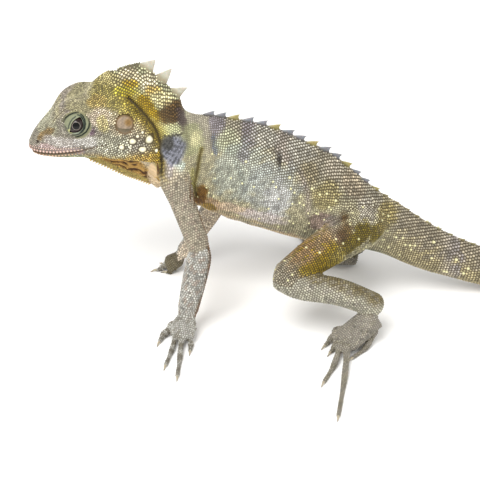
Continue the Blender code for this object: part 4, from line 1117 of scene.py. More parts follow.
def bodyTint(points, normals, label, along, around):
    # the colour of the scale tops: each form's own, and over trunk, head and the roots of the limbs the
    # markings, the flank's creases as painted shade, the folds' colours with painted shade along the neck and
    # shoulder creases, and the late markings
    own = along
    along, around = trunkShares(points, label, along, around)
    c, name = bodyColours, namesOf(label)
    ribs, turn = ribsOf(along), turnOf(around)
    mottle, fine = ripple(points, 9, 1), ripple(points, 3.2, 2)
    isHead = name == "head"
    tint = np.where(isHead[:, None], headTint(points), trunkTint(points, ribs, turn, mottle, fine))
    thigh, arm = np.char.startswith(name, "thigh"), np.char.startswith(name, "upperArm")
    limbShare = np.where(thigh, smoothStep(0.5, 0.72, own + 0.04 * mottle),
                         np.where(arm, smoothStep(0.28, 0.5, own + 0.04 * mottle), 1.0))
    onBody = np.where(isHead | (name == "trunk"), 1.0, np.where(thigh | arm, 1 - limbShare, 0.0))
    rough = 0.16 * mottle + 0.14 * fine
    tint = marked(tint, points, markings, rough, onBody)
    # painted shade of creases on the flank: the colour darkened along a wavy pattern
    flank = (smoothStep(0.3, 0.42, turn) * (1 - smoothStep(0.62, 0.74, turn)) * smoothStep(7, 8, ribs)
             * (1 - smoothStep(14, 15.5, ribs)))
    creaseShade = smoothStep(0.0, 0.6, ripple(points * (1, 1, 0.5), 1.2, 33))
    tint = mix(tint, tint * 0.8, flank * creaseShade * onBody)
    for key, colour, half, strength in foldColoursAndShades:
        tint = mix(tint, colour, strength * bell(lineDistance(points[:, (0, 2)], foldForm[key][2]), half)
                   * onBody)
    tint = marked(tint, points, lateMarkings, 0.5 * rough, onBody)
    isRight, digit = np.char.find(name, "Right") > 0, np.char.find(name, "Digit") > 0
    for key in limbColours:
        here = np.char.startswith(name, key)
        tint[here] = mix(tint, limbTint(normals, key, isRight, own, mottle, fine), limbShare)[here]
    stripe = smoothStep(0.1, 0.7, np.sin(2 * pi * own * 4.2 + 0.8 * mottle)) * digit
    for key, dark in (("hand", "handDark"), ("foot", "footRear")):
        here = np.char.startswith(name, key)
        tint[here] = mix(c[key], c[dark],
                         np.clip(0.7 * stripe + 0.5 * smoothStep(0.2, 0.6, fine), 0, 0.8))[here]
    # painted shade over the far hand, all but its second digit
    here = np.char.startswith(name, "handRight") & (name != "handRightDigit2")
    tint[here] = mix(tint, c["farHandShade"], np.full(len(tint), 0.6))[here]
    here = name == "pouch"
    tint[here] = pouchTint(points, fine)[here]
    # painted shade of wrinkles on the smooth patch: the colour darkened along a network of lines
    tint = mix(tint, tint * 0.6, inPatch(points, slatePatch) * onBody
               * smoothStep(0.0, 0.5, ripple(points, 1.7, 24)))
    return np.clip(tint * (1 + 0.05 * fine + 0.04 * mottle)[:, None], 0, 1)


gapShades = {
    # how much painted shade, over the hide's browner colour, lies in the gaps between scales, 0 to 1
    "flank": 0.42, "tail": 0.75, "face": 0.62, "thigh": 1.0, "shin": 0.55, "pouch": 1.0, "others": 0.4,
    "onBack": 0.42, "onBelly": 0.2,  # added to the flank's
    "onNape": 0.2, "onCrest": 0.1,  # added to the face's
    "slatePatch": 0.75,  # the share that the smooth patch loses; the throat's fold loses all
}


def paintedGapShade(points, label, along, around):
    # painted shade in the gaps between scales, over the hide's browner colour: how much of it each point
    # takes
    name, shades = namesOf(label), gapShades
    along, around = trunkShares(points, label, along, around)
    turn, ribs = turnOf(around), ribsOf(along)
    depth = (shades["flank"] + shades["onBack"] * coarseBack(turn, ribs)
             + shades["onBelly"] * smoothStep(0.62, 0.8, turn))
    depth = depth + (shades["tail"] - depth) * smoothStep(16, 19, ribs)
    face = (shades["face"] + shades["onNape"] * smoothStep(24, 34, headPlaces(points)[:, 0])
            + shades["onCrest"] * crestShare(points))
    others = perKind({key: shades[key] for key in ("thigh", "shin", "pouch")}, label, shades["others"])
    depth = np.where(name == "head", face, np.where(name == "trunk", depth, others))
    return (depth * (1 - shades["slatePatch"] * inPatch(points, slatePatch) * (name != "head"))
            * (1 - inPatch(points, throatFold)))


def inPatch(points, patch):
    x, z = patch["place"]
    return 1 - smoothStep(0.85, 1.1, np.hypot((points[:, 0] - x) / patch["long"],
                                              (points[:, 2] - z) / patch["high"]))


def crestShare(points):
    place = headPlaces(points)
    return smoothStep(29, 37, place[:, 0]) * smoothStep(10, 17, place[:, 2])


def lipBand(place):
    # 1 on the band of lip scales along the mouth
    line = np.array(headForm["mouthLine"])
    above = place[:, 2] - np.interp(place[:, 0], line[:, 0], line[:, 1])
    return (smoothStep(-1.55, -1.25, above) * (1 - smoothStep(2.2, 2.6, above))
            * (1 - smoothStep(0, 1, place[:, 0] - pitForm["mouthEnd"])))


def gapColour(points, label):
    # dark brown between the scales, olive on the crest: the hide's browner colour, with painted shade in the
    # gaps
    return mix(bodyColours["gap"], bodyColours["crestGap"], crestShare(points) * (namesOf(label) == "head"))


# The coat: one small solid for each scale

coatSettings = {
    "sides": 6,
    # foot and shoulder as shares of the cell, and the shoulder's colour
    "fill": 0.95, "shoulder": 0.70, "shoulderShare": 0.72,
    # how deep the foot stands in the skin: mm, and a share of the height
    "sunk": 0.2, "sunkShare": 0.1,
    # the shoulder's rise as a share of the height, and what lift and keel add to it
    "shoulderRise": 0.5, "shoulderOfLift": 0.28, "shoulderOfKeel": 0.22,
    # the top's rise in the same way, then how far lift leans shoulder and top back, in mean radii
    "topRise": 0.92, "topOfKeel": 0.3, "shoulderLean": 0.16, "topLean": 0.3,
    # the top's brightness is a painted highlight, and the foot ring's darker colour is painted shade at the
    # scale's base
    "paintedTopHighlight": 1.08, "innerPatch": 0.8,  # the top's brightness; the shoulder ring's share of the patch
    "limit": 8600,  # scales a piece, so that it stays under 200,000 triangles
    "patch": 0.0015,  # half width of a scale's patch on the unwrap
    "contrast": 0.12,  # how much one scale's brightness differs from the next
    "tubercles": "#ece7b4",  # scattered pale scales
    # single dark scales
    "darkShares": {"upperArm": 0.08, "forearm": 0.10, "shin": 0.03, "hand": 0.03, "foot": 0.03},
}


def frames(normals, ways):
    # along: the way back laid into the surface; side: across it
    along = unit(ways - normals * np.einsum("ij,ij->i", ways, normals)[:, None])
    return along, np.cross(normals, along)


def cellRadii(points, along, side, sizes, directions):
    # in each direction, the nearest halfway line to a neighbour: the cell that a scale may fill
    index, _ = nearestOf(treeOf(points), points, 10)
    to = points[index[:, 1:]] - points[:, None]
    u, v = np.einsum("nkj,nj->nk", to, along), np.einsum("nkj,nj->nk", to, side)
    reach, bearing = np.hypot(u, v), np.arctan2(v, u)
    facing = np.cos(directions[None, :, None] - bearing[:, None])
    halfway = np.where(facing > 0.15, 0.5 * reach[:, None] / np.maximum(facing, 0.15), 9.0)
    return np.clip(halfway.min(axis=2), 0.22 * sizes[:, None], 0.66 * sizes[:, None])


def buildScales(centre, normals, along, side, radii, height, keel, lift, tops, edges, uv):
    # foot ring sunk in the skin, a raised shoulder ring and a top that leans back; tiled over a fixed
    # pattern of faces and closed underneath
    count, sides = radii.shape
    form = coatSettings
    turn = np.arange(sides) * 2 * pi / sides
    way = along[:, None] * np.cos(turn)[None, :, None] + side[:, None] * np.sin(turn)[None, :, None]
    up = normals[:, None]
    mean = radii.mean(axis=1)
    foot = (centre[:, None] + way * radii[..., None]
            - up * (form["sunk"] + form["sunkShare"] * height)[:, None, None])
    rise = height[:, None] * (form["shoulderRise"] + form["shoulderOfLift"] * lift[:, None] * np.cos(turn)
                              + form["shoulderOfKeel"] * keel[:, None] * np.cos(turn) ** 2)
    slip = (form["shoulderLean"] * lift * mean)[:, None, None] * along[:, None]
    shoulder = centre[:, None] + way * (radii * form["shoulder"])[..., None] + slip + up * rise[..., None]
    top = (centre + along * (form["topLean"] * lift * mean)[:, None]
           + normals * (height * (form["topRise"] + form["topOfKeel"] * keel))[:, None])
    points = np.concatenate([foot, shoulder, top[:, None]], axis=1).reshape(-1, 3)
    k = np.arange(sides)
    n = (k + 1) % sides
    pattern = np.vstack([np.stack([k, n, sides + n], 1), np.stack([k, sides + n, sides + k], 1),
                         np.stack([sides + k, sides + n, np.full(sides, 2 * sides)], 1),
                         np.stack([np.zeros(sides - 2, int), k[2:], k[1:-1]], 1)])
    triangles = (pattern[None] + (np.arange(count) * (2 * sides + 1))[:, None, None]).reshape(-1, 3)
    # painted shade and highlight on each scale: the foot ring takes the darker edge colour, the shoulder ring
    # lies part way from it to the top's colour, and the top is brightened
    middle = edges + (tops - edges) * form["shoulderShare"]
    colours = np.concatenate([np.repeat(edges[:, None], sides, 1), np.repeat(middle[:, None], sides, 1),
                              tops[:, None] * form["paintedTopHighlight"]], axis=1)
    ring = form["patch"] * np.stack([np.cos(turn), np.sin(turn)], 1)
    spots = np.concatenate([uv[:, None] + ring, uv[:, None] + form["innerPatch"] * ring, uv[:, None]], axis=1)
    return points, triangles, colours.reshape(-1, 3), spots.reshape(-1, 2)


def coatPiece(name, built, material):
    # one object from built scales, with its colours and its unwrap
    points, triangles, colours, spots = built
    made = makeObject(name, points, triangles)
    storeColour(made, colours)
    layer = made.data.uv_layers.new(name="OFBake")
    layer.data.foreach_set("uv", spots[triangles.ravel()].astype(np.float32).ravel())
    made.data.materials.append(material)
    return made


def finalSkin():
    # the sculpted skin, thinned to its triangle limit where it is flattest
    made = makeObject("skin", skinPoints, skinFaces)
    inMillimetres(made)
    change = made.modifiers.new("thin", "DECIMATE")
    change.ratio = min(1.0, skinSettings["triangles"] / (2 * len(skinFaces)))
    change.use_collapse_triangulate = True
    evaluated(made)
    points, triangles = readMesh(made.data, 3)
    bpy.data.objects.remove(made)
    return points - shift, triangles


# Materials


def addNode(tree, kind, settings=None, links=None):
    # one node with its settings and what feeds its inputs: a value, or another node's output
    node = tree.nodes.new("ShaderNode" + kind)
    for key, value in (settings or {}).items():
        setattr(node, key, value)
    for key, value in (links or {}).items():
        if isinstance(value, bpy.types.NodeSocket):
            tree.links.new(value, node.inputs[key])
        else:
            node.inputs[key].default_value = value
    return node


def newMaterial(name):
    material = bpy.data.materials.new(name)
    material.use_nodes = True
    tree = material.node_tree
    tree.nodes.clear()
    return material, tree


def finish(tree, shader):
    addNode(tree, "OutputMaterial", None, {"Surface": shader.outputs[0]})


def pigmented(name, noise, shades, bump, surface):
    # the piece's own colour with a grain of pigment over it, from the darkest to the brightest shade, and a
    # bump of that grain, by strength and mm, so that light breaks on it
    material, tree = newMaterial(name)
    place = addNode(tree, "TexCoord").outputs["Object"]
    tint = addNode(tree, "Attribute", {"attribute_name": "tint"}).outputs["Color"]
    grain = addNode(tree, "TexNoise", None, {"Vector": place, **noise}).outputs["Fac"]
    shade = addNode(tree, "MapRange", None, {
        "Value": grain, "From Min": 0.3, "From Max": 0.7, "To Min": shades[0], "To Max": shades[1]})
    colour = addNode(tree, "VectorMath", {"operation": "SCALE"}, {0: tint, "Scale": shade.outputs["Result"]})
    relief = addNode(tree, "Bump", None, {"Height": grain, "Strength": bump[0], "Distance": bump[1] * mm})
    shader = addNode(tree, "BsdfPrincipled", None, {
        "Base Color": colour.outputs["Vector"], "Normal": relief.outputs["Normal"], **surface})
    finish(tree, shader)
    return material


def skinMaterial(name, grain, depth, roughness, spread):
    # scaled reptile skin: dry keratin over a pigmented hide; grain and depth in mm
    return pigmented(name, {"Scale": 1 / (grain * mm), "Detail": 3.0, "Roughness": 0.6},
                     (1 - spread, 1 + spread), (0.5, depth),
                     {"Roughness": roughness, "Specular IOR Level": 0.35})


def hornMaterial(name, roughness, glow):
    # horn: translucent keratin, finely clouded, with a smooth low sheen
    return pigmented(name, {"Scale": 900.0, "Detail": 4.0}, (0.88, 1.1), (0.35, 0.05),
                     {"Roughness": roughness, "Subsurface Weight": glow, "Subsurface Scale": 0.6 * mm})


# dry horny scales, a grain of a third of a mm
scaleKeratin = skinMaterial("scaleKeratin", 0.35, 0.05, 0.5, 0.10)
bareHide = skinMaterial("bareHide", 0.5, 0.16, 0.62, 0.14)  # soft hide between the scales and on the pouch
# thin bare skin of lids and eardrums, slightly glossy
lidHide = skinMaterial("lidHide", 0.25, 0.04, 0.5, 0.06)
crestHorn = hornMaterial("crestHorn", 0.42, 0.15)  # horn of crest, spines and the pouch's edge
clawHorn = hornMaterial("clawHorn", 0.3, 0.1)  # polished horn of the claws

skinPoints, skinTriangles = finalSkin()
surface = BVHTree.FromPolygons(skinPoints.tolist(), skinTriangles.tolist())  # with the eyes still closed
skinPoints = openSockets(skinPoints)
skinNormals = pointNormals(skinPoints, skinTriangles)
index = nearestRoot(skinPoints)
skinLabel = roots[index, 9].astype(int)
skinTint = bodyTint(skinPoints, skinNormals, skinLabel, roots[index, 6], roots[index, 7])
print("skin thinned to", len(skinTriangles))


# mouthLine and nostril: painted shade in the mouth's slit and the nostril's pit; earRim: a dark ring round
# the ear
hideColours = {"mouthLine": "#4e3018", "earRim": "#6b5030", "nostril": "#2a1d18"}


def hideTint(points, tint, label, along, around):
    # between the scales the hide is darker and browner: its own browner colour with painted shade in the
    # gaps, and painted shade between the lip plates; on the pouch it keeps its colour; the mouth line and the
    # nostril are painted dark as shade in the slit and the pit, and the ear's rim is dark
    name = namesOf(label)
    isHead = name == "head"
    depth = paintedGapShade(points, label, along, around)
    dark = mix(tint * (1 - 0.58 * depth)[:, None], gapColour(points, label), 0.45 * depth)
    out = np.where((name == "pouch")[:, None], tint, dark)
    place = headPlaces(points)
    mouth = lineDistance(place[:, (0, 2)], headForm["mouthLine"])
    # painted shade on the skin between the lip plates
    out = mix(out, tint * 0.6, lipBand(place) * isHead)
    # painted shade along the mouth's slit, fainter past the mouth's end
    past = smoothStep(pitForm["mouthEnd"] - 2, pitForm["mouthEnd"], place[:, 0])
    fade = 0.9 * (1 - past) + 0.35 * past * (1 - smoothStep(30, 33, place[:, 0]))
    out = mix(out, hideColours["mouthLine"], fade * bell(mouth, 0.3) * isHead)
    rim = fromFeature(place, "ear") / headForm["earRadius"]
    out = mix(out, hideColours["earRim"], 0.7 * bell(rim - 1.02, 0.09) * isHead)
    # painted shade in the nostril's pit
    pit = 1 - smoothStep(0.35, 0.7, fromFeature(place, "nostril"))
    return mix(out, hideColours["nostril"], pit * isHead)


skin = makeObject("skin", skinPoints, skinTriangles)
storeColour(skin, hideTint(skinPoints, skinTint, skinLabel, roots[index, 6], roots[index, 7]))
skin.data.materials.append(bareHide)


# Coat

cheekPlates = {
    # large pale plates of the jaw's corner, both sides: x, z, half length and half height
    "plates": ((-46.2, 73.9, 1.3, 1.3), (-41.8, 76.6, 1.6, 1.4), (-39.8, 78.6, 0.8, 0.8),
               (-37.9, 79.9, 0.7, 0.7), (-35.3, 76.7, 1.8, 1.8), (-38.0, 73.0, 1.8, 1.4),
               (-32.7, 71.9, 0.8, 0.9), (-42.7, 73.6, 0.6, 0.6), (-43.9, 71.9, 0.5, 0.5)),
    # edge: the plates' foot ring, darker as painted shade at their base
    "colour": "#e2dcc4", "edge": "#8d8660", "height": 0.36,
}


coatForms = {
    # a scale's height as a share of its size, its keel and its backward lift
    "flank": (0.30, 0.3, 0.25), "head": (0.3, 0.1, 0.2), "limb": (0.3, 0.6, 0.75),
    "back": (0.08, 0.3, 0.1), "tail": (0.04, 0.3, 0.4), "belly": (0, 0, 0.4),  # added to the flank's
    "nape": 0.06,  # added to the head's height
    "thin": 0.2,  # height on digits and pouch
    "slatePatch": 0.65,  # the share of its height that a scale of the smooth patch loses
}


def coatStyle(points, label, along, around, sizes):
    # height, keel and lift of each scale, by where it grows
    name, turn, ribs = namesOf(label), turnOf(around), ribsOf(along)
    shares = {"back": coarseBack(turn, ribs), "tail": smoothStep(17, 20, ribs),
              "belly": smoothStep(0.65, 0.8, turn)}
    style = np.tile(coatForms["flank"], (len(points), 1))
    for key, share in shares.items():
        style = style + share[:, None] * np.array(coatForms[key])
    head = name == "head"
    style[head] = coatForms["head"]
    style[(name != "trunk") & ~head] = coatForms["limb"]
    style[(np.char.find(name, "Digit") > 0) | (name == "pouch"), 0] = coatForms["thin"]
    height, keel, lift = style.T
    height = height + head * coatForms["nape"] * smoothStep(26, 36, headPlaces(points)[:, 0])
    height = height * (1 - coatForms["slatePatch"] * inPatch(points, slatePatch) * ~head)
    return height * sizes, keel, np.clip(lift, 0, 1)


def onBare(points, label):
    # places that carry no ordinary scales: eye and lids, mouth line, lips, jaw plates, ear, nostril, most of
    # the pouch, and the fold behind it
    name = namesOf(label)
    place = headPlaces(points)
    bare = np.zeros(len(points), bool)
    for side in (1, -1):
        local = eyePlaces(points, side)
        bare |= (np.hypot(local[:, 0], local[:, 1]) < 5.9) & (local[:, 2] > 1.0)
    mouth = lineDistance(place[:, (0, 2)], headForm["mouthLine"])
    head = name == "head"
    bare |= head & (mouth < 0.3) & (place[:, 0] < 32.5)
    bare |= head & (lipBand(place) > 0.5)
    for x, z, long, high in cheekPlates["plates"]:
        bare |= head & (np.hypot((points[:, 0] - x) / (long + 0.25), (points[:, 2] - z) / (high + 0.25)) < 1)
    bare |= head & (fromFeature(place, "ear") < headForm["earRadius"] * 1.02) & (np.abs(place[:, 1]) > 6)
    bare |= head & (fromFeature(place, "nostril") < 0.75) & (np.abs(place[:, 1]) > 1)
    bare |= (name == "pouch") & (overPouchEdge(points) > 4.2)
    bare |= (name == "trunk") & (inPatch(points, throatFold) > 0.5)
    return bare


def pickTubercles(points, label, along, around, draw):
    # scattered pale scales, thickest on the rear flank, thigh and root of the tail: 1 where a scale is one
    name = namesOf(label)
    bodyAlong, bodyAround = trunkShares(points, label, along, around)
    ribs, turn = ribsOf(bodyAlong), turnOf(bodyAround)
    flank = smoothStep(0.2, 0.32, turn) * (1 - smoothStep(0.66, 0.76, turn))
    body = ((name == "trunk") * flank * (0.014 + 0.028 * smoothStep(11.5, 14, ribs))
            * smoothStep(8, 9.5, ribs) * (1 - smoothStep(19, 23, ribs)))
    rate = (body + np.char.startswith(name, "thigh") * 0.02 + 0.012 * (name == "trunk")
            * smoothStep(19, 21, ribs))
    return (draw.uniform(size=len(points)) < rate).astype(float)


roots[:, :3], rootNormals, away = onSurface(surface, roots[:, :3])
label = roots[:, 9].astype(int)
keep = ~onBare(roots[:, :3], label) & (away < 1.6) & ~((roots[:, 2] < 0.3) & (rootNormals[:, 2] < -0.5))
roots, rootNormals, label = roots[keep], rootNormals[keep], label[keep]
index, _ = nearestOf(treeOf(skinPoints), roots[:, :3], 1)
rootNormals = unit(skinNormals[index[:, 0]] + rootNormals)
along, side = frames(rootNormals, roots[:, 3:6])
sizes = roots[:, 8]
directions = np.arange(coatSettings["sides"]) * 2 * pi / coatSettings["sides"]
radii = cellRadii(roots[:, :3], along, side, sizes, directions) * coatSettings["fill"]
height, keel, lift = coatStyle(roots[:, :3], label, roots[:, 6], roots[:, 7], sizes)
draw = np.random.default_rng(3)
tops = bodyTint(roots[:, :3], rootNormals, label, roots[:, 6], roots[:, 7])
depth = paintedGapShade(roots[:, :3], label, roots[:, 6], roots[:, 7])
uneven = coatSettings["contrast"] * (0.25 + depth) + 0.06 * (roots[:, 9] == formNames.index("head"))
tops = tops * (1 + uneven * np.clip(draw.normal(size=len(roots)), -2, 2))[:, None]
spotted = perKind(coatSettings["darkShares"], label, 0.0)
tops = mix(tops, tops * 0.72, draw.uniform(size=len(roots)) < spotted)  # single dark scales on the limbs
pale = pickTubercles(roots[:, :3], label, roots[:, 6], roots[:, 7], draw)
tops = mix(tops, coatSettings["tubercles"], 0.8 * pale)
height, radii = height * (1 + 0.8 * pale), radii * (1 + 0.4 * pale)[:, None]
# each scale's foot ring: the top's colour darkened by the gap shade and mixed towards the hide's gap colour,
# painted shade at the scale's base
edges = mix(tops * (1 - 0.62 * depth)[:, None], gapColour(roots[:, :3], label), 0.5 * depth)
atlas = np.array([form["atlas"] for form in forms])[label]
spots = np.stack([atlas[:, 0] + roots[:, 6] * (atlas[:, 2] - atlas[:, 0]),
                  atlas[:, 1] + roots[:, 7] * (atlas[:, 3] - atlas[:, 1])], 1)
radii[:, 0] *= 1 + 0.12 * lift  # the rear end reaches over the next scale's front
print("scales", len(roots))


def coatGroups():
    # the forms that share a piece, then lengths of at most the limit
    groupOf = np.array([0 if n == "trunk" else 1 if n in ("head", "pouch") else 2 for n in formNames])[label]
    for number, name in enumerate(("trunkScales", "headScales", "limbScales")):
        here = np.flatnonzero(groupOf == number)
        here = here[np.lexsort((roots[here, 6], label[here]))]
        parts = max(1, math.ceil(len(here) / coatSettings["limit"]))
        for part, chosen in enumerate(np.array_split(here, parts), 1):
            yield f"{name}{part}", chosen


pieces = []
for name, chosen in coatGroups():
    built = buildScales(roots[chosen, :3], rootNormals[chosen], along[chosen], side[chosen], radii[chosen],
                        height[chosen],
                        keel[chosen], lift[chosen], tops[chosen], edges[chosen], spots[chosen])
    pieces.append((coatPiece(name, built, scaleKeratin), "olive_skin"))
    print(name, len(chosen), "scales")


# Crest, spines and claws

crestForm = {
    # the three tall plates: front base x and z, rear base x and z, tip x and z
    "plates": ((-39.4, 103.6, -34.0, 100.0, -32.8, 105.3), (-32.6, 98.9, -28.8, 95.2, -26.5, 101.6),
               (-27.2, 93.0, -23.6, 89.4, -20.6, 93.5)),
    "plateHalf": 0.8, "plateSink": 2.2,
    # the spines behind them, one after another along the ridge: rib and height
    "firstRib": 8.9, "lastRib": 34.0, "firstStep": 4.3, "step": 5.5, "stepChange": 0.35,
    "heights": ((8.9, 2.3), (10.0, 2.5), (14.0, 2.7), (16.0, 1.8), (17.5, 0.8), (19.5, 1.1), (25.0, 0.9),
                (34.0, 0.5)),
    "base": 5.3, "half": 0.85, "lean": 2.3, "full": 2.5, "sink": 1.0,
    "plateColours": ("#8a8268", "#aaa696", "#c6c3b4"),  # root, body and edge
    "greySpine": ("#4a4640", "#6c6d72", "#a3a3a0"), "ochreSpine": ("#5c5228", "#8a7f4c", "#b5ac7c"),
    "tailSpine": ("#4f472c", "#736a48", "#9a9272"),
}


def blade(base, along, up, length, height, half, lean, sink, colours, levels=12, around=16, front=0.85,
          rear=0.85):
    # lens-shaped levels that shrink to a tip leaning back: the reach to front and rear falls as (1 - s)^front
    # and (1 - s)^rear, and the lean grows as s^1.25
    side = np.cross(along, up)
    rise = np.linspace(-sink, height, levels)
    s = np.clip(rise / height, 0, 1)[:, None, None]
    turn = np.linspace(0, 2 * pi, around, endpoint=False)[None, :, None]
    centre = base + rise[:, None, None] * up + lean * s**1.25 * along
    reach = 0.5 * length * (1 - s) ** np.where(np.cos(turn) < 0, front, rear) + 0.04
    width = half * (1 - 0.9 * s)
    grid = centre + reach * np.cos(turn) * along + width * np.sin(turn) * np.abs(np.sin(turn)) ** 0.35 * side
    points, triangles = closedLoft(grid)
    share = np.concatenate([np.repeat(s[:, 0, 0], around), [0.0, 1.0]])
    edgeOn = np.concatenate([np.tile(np.abs(np.cos(turn[0, :, 0])), levels), [0.0, 1.0]])
    root, body, edge = colours
    tint = mix(root, body, smoothStep(0.0, 0.45, share))
    tint = mix(tint, edge, smoothStep(0.75, 1.0, edgeOn) * 0.6 * smoothStep(0.1, 0.4, share)
               + 0.3 * smoothStep(0.6, 1, share))
    return points, triangles, tint


def ridgeWalk():
    # places of the spines: rib, point on the ridge, way along it, and height
    form = crestForm
    places = np.linspace(form["firstRib"], form["lastRib"], 1200)
    ridge = trunkGrid(places, 4)[:, 0]
    run = np.concatenate([[0.0], np.cumsum(np.linalg.norm(np.diff(ridge, axis=0), axis=1))])
    ribs, heights = np.array(form["heights"]).T
    at = lambda stop: np.array([np.interp(stop, run, ridge[:, k]) for k in range(3)])
    walk, stop = [], 0.0
    while stop < run[-1]:
        rib = float(np.interp(stop, run, places))
        walk.append((rib, at(stop), unit(at(stop + 1) - at(stop - 1)), float(np.interp(rib, ribs, heights))))
        stop += ((form["step"] if len(walk) > 1 else form["firstStep"]) + form["stepChange"]
                 * math.sin(2.4 * len(walk)))
    return walk


def colouredPiece(name, shapes, material, slot, nodes=()):
    # one object from shapes of points, triangles and colours
    points, triangles = joinShapes([shape[:2] for shape in shapes])
    made = makeObject(name, points, triangles)
    storeColour(made, np.vstack([shape[2] for shape in shapes]))
    made.data.materials.append(material)
    if nodes:
        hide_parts(*nodes)
    pieces.append((made, slot))
    return made


def crestShapes():
    form = crestForm
    shapes = []
    for row in form["plates"]:
        front, rear, tip = (np.array([row[k], 0.0, row[k + 1]]) for k in (0, 2, 4))
        along, middle = unit(rear - front), (front + rear) / 2
        up = tip - middle - along * ((tip - middle) @ along)
        height = np.linalg.norm(up)
        shapes.append(blade(middle, along, up / height, np.linalg.norm(rear - front) * 1.04, height,
                            form["plateHalf"],
                            (tip - middle) @ along, form["plateSink"], form["plateColours"], 22, 28))
    for number, (rib, point, along, height) in enumerate(ridgeWalk()):
        up = unit(np.array([0.0, 0.0, 1.0]) - along * along[2])
        size = 0.45 + 0.55 * height / form["full"]
        colours = (form["tailSpine"] if rib > 17 else form["ochreSpine"] if number % 3 == 2
                   else form["greySpine"])
        shapes.append(blade(point, along, up, form["base"] * size, height, form["half"] * size,
                            form["lean"] * size,
                            min(form["sink"], 0.35 * point[2]), colours, front=0.6, rear=1.5))
    return shapes


def pouchEdgeShapes():
    # small pointed scales in a row along the pouch's lower edge
    form = pouchForm
    rows = splineAt(form["sections"][1:6], np.linspace(0, 4, form["spines"]))
    along, down = np.array([0.87, 0.0, -0.49]), np.array([-0.49, 0.0, -0.87])
    return [blade(np.array([x, 0.0, low + 0.25]), along, down, form["spineLength"], form["spineHeight"],
                  form["spineHalf"],
                  form["spineLean"], form["spineSink"], form["spineColours"], 8, 10) for x, low, _ in rows]


def clawShape(root, ahead):
    # a curved cone whose tip comes down to the floor, darker towards its tip
    form, around = clawForm, clawForm["around"]
    t = np.linspace(0, 1, 12)
    radius = form["rootRadius"] + (form["tipRadius"] - form["rootRadius"]) * t**0.85
    xy = root[:2] + ahead[:2] * (form["length"] * t)[:, None]
    lift = root[2] + 0.25 * np.sin(pi * np.minimum(t * 1.4, 1)) - (root[2] - form["tipRadius"]) * t * t
    grid = tubeGrid(np.column_stack([xy, np.maximum(lift, radius), radius]), around, 22,
                    roundEnds=(False, True))
    share = np.concatenate([np.repeat(np.linspace(0, 1, len(grid)), around), [0.0, 1.0]])
    return *closedLoft(grid), mix(*form["colours"], smoothStep(0.35, 1.0, share))


colouredPiece("dorsalCrest", crestShapes(), crestHorn, "grey_skin")
colouredPiece("pouchEdge", pouchEdgeShapes(), crestHorn, "pouch_skin")
for paw, rootsOfClaws in clawRoots.items():
    shapes = [clawShape(root + ahead * clawForm["gap"], ahead) for root, ahead in rootsOfClaws]
    nodes = [f"claw_{paw[:4]}_{paw[4:].lower()}_{number}" for number in range(1, 6)]
    colouredPiece(f"{paw}Claws", shapes, clawHorn, "claw_horn", nodes)


# Eyes and eardrums


def eyeMaterial():
    # glass eye under a clear cornea: black pupil, thin pale ring, red-brown iris streaked outward, dark rim
    material, tree = newMaterial("glassEye")
    reach = addNode(tree, "Attribute", {"attribute_name": "reach"}).outputs["Fac"]
    place = addNode(tree, "TexCoord").outputs["Object"]
    noise = addNode(tree, "TexNoise", None, {"Vector": place, "Scale": 1600.0, "Detail": 3.0})
    wander = addNode(tree, "MapRange", None, {"Value": noise.outputs["Fac"], "To Min": -0.12, "To Max": 0.12})
    radius = addNode(tree, "Math", {"operation": "ADD"}, {0: reach, 1: wander.outputs["Result"]})
    scaled = addNode(tree, "Math", {"operation": "DIVIDE"}, {0: radius.outputs[0], 1: eyeForm["rampReach"]})
    ramp = addNode(tree, "ValToRGB", None, {"Fac": scaled.outputs[0]})
    stops = ((0.0, "#030303"), (0.27, "#040303"), (0.29, "#2c2622"), (0.31, "#8d857b"), (0.33, "#5f574f"),
             (0.345, "#1f1512"),
             (0.55, "#20100e"), (0.72, "#120908"))
    elements = ramp.color_ramp.elements
    while len(elements) < len(stops):
        elements.new(0.5)
    for element, (stop, colour) in zip(elements, stops):
        element.position, element.color = stop, (*toLinear(hexToSrgb(colour)), 1)
    shader = addNode(tree, "BsdfPrincipled", None, {"Base Color": ramp.outputs["Color"], "Roughness": 0.25,
                                                    "Specular IOR Level": 0.1, "Coat Weight": 0.35,
                                                    "Coat Roughness": 0.03})
    finish(tree, shader)
    return material


def makeEye(side, word, material):
    # a ball whose poles lie on its axis, bulged at the cornea, with each point's distance from the axis
    centre, out, _ = eyeAxes(side)
    around = 96
    tilt = np.concatenate([np.linspace(0.01, 0.9, 60), np.linspace(0.94, pi - 0.05, 30)])
    turn = np.linspace(0, 2 * pi, around, endpoint=False)
    back = np.array([1.0, 0.0, 0.0])
    across = np.cross(out, back)
    radius = eyeForm["ballRadius"] + eyeForm["cornea"] * (1 - smoothStep(0.35, 0.7, tilt))
    ring = np.cos(turn)[:, None] * back + np.sin(turn)[:, None] * across
    grid = centre + radius[:, None, None] * (np.sin(tilt)[:, None, None] * ring + np.cos(tilt)[:, None, None]
                                             * out)
    made = makeObject("eye" + word, *closedLoft(grid))
    layer = made.data.attributes.new("reach", "FLOAT", "POINT")
    reach = np.where(tilt < pi / 2, radius * np.sin(tilt), eyeForm["rampReach"])
    reach = np.concatenate([np.repeat(reach, around), [0.0, eyeForm["rampReach"]]])
    layer.data.foreach_set("value", reach.astype(np.float32))
    made.data.materials.append(material)
    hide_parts("eye_" + word.lower())
    pieces.append((made, "eye"))


lidColours = {
    "inner": "#7e8165", "outer": "#716f52", "above": "#8d8662", "below": "#a39c90", "rim": "#86907f",
    "corner": "#b6b47c", "edge": "#1d1b16", "fold": "#18211b",
}


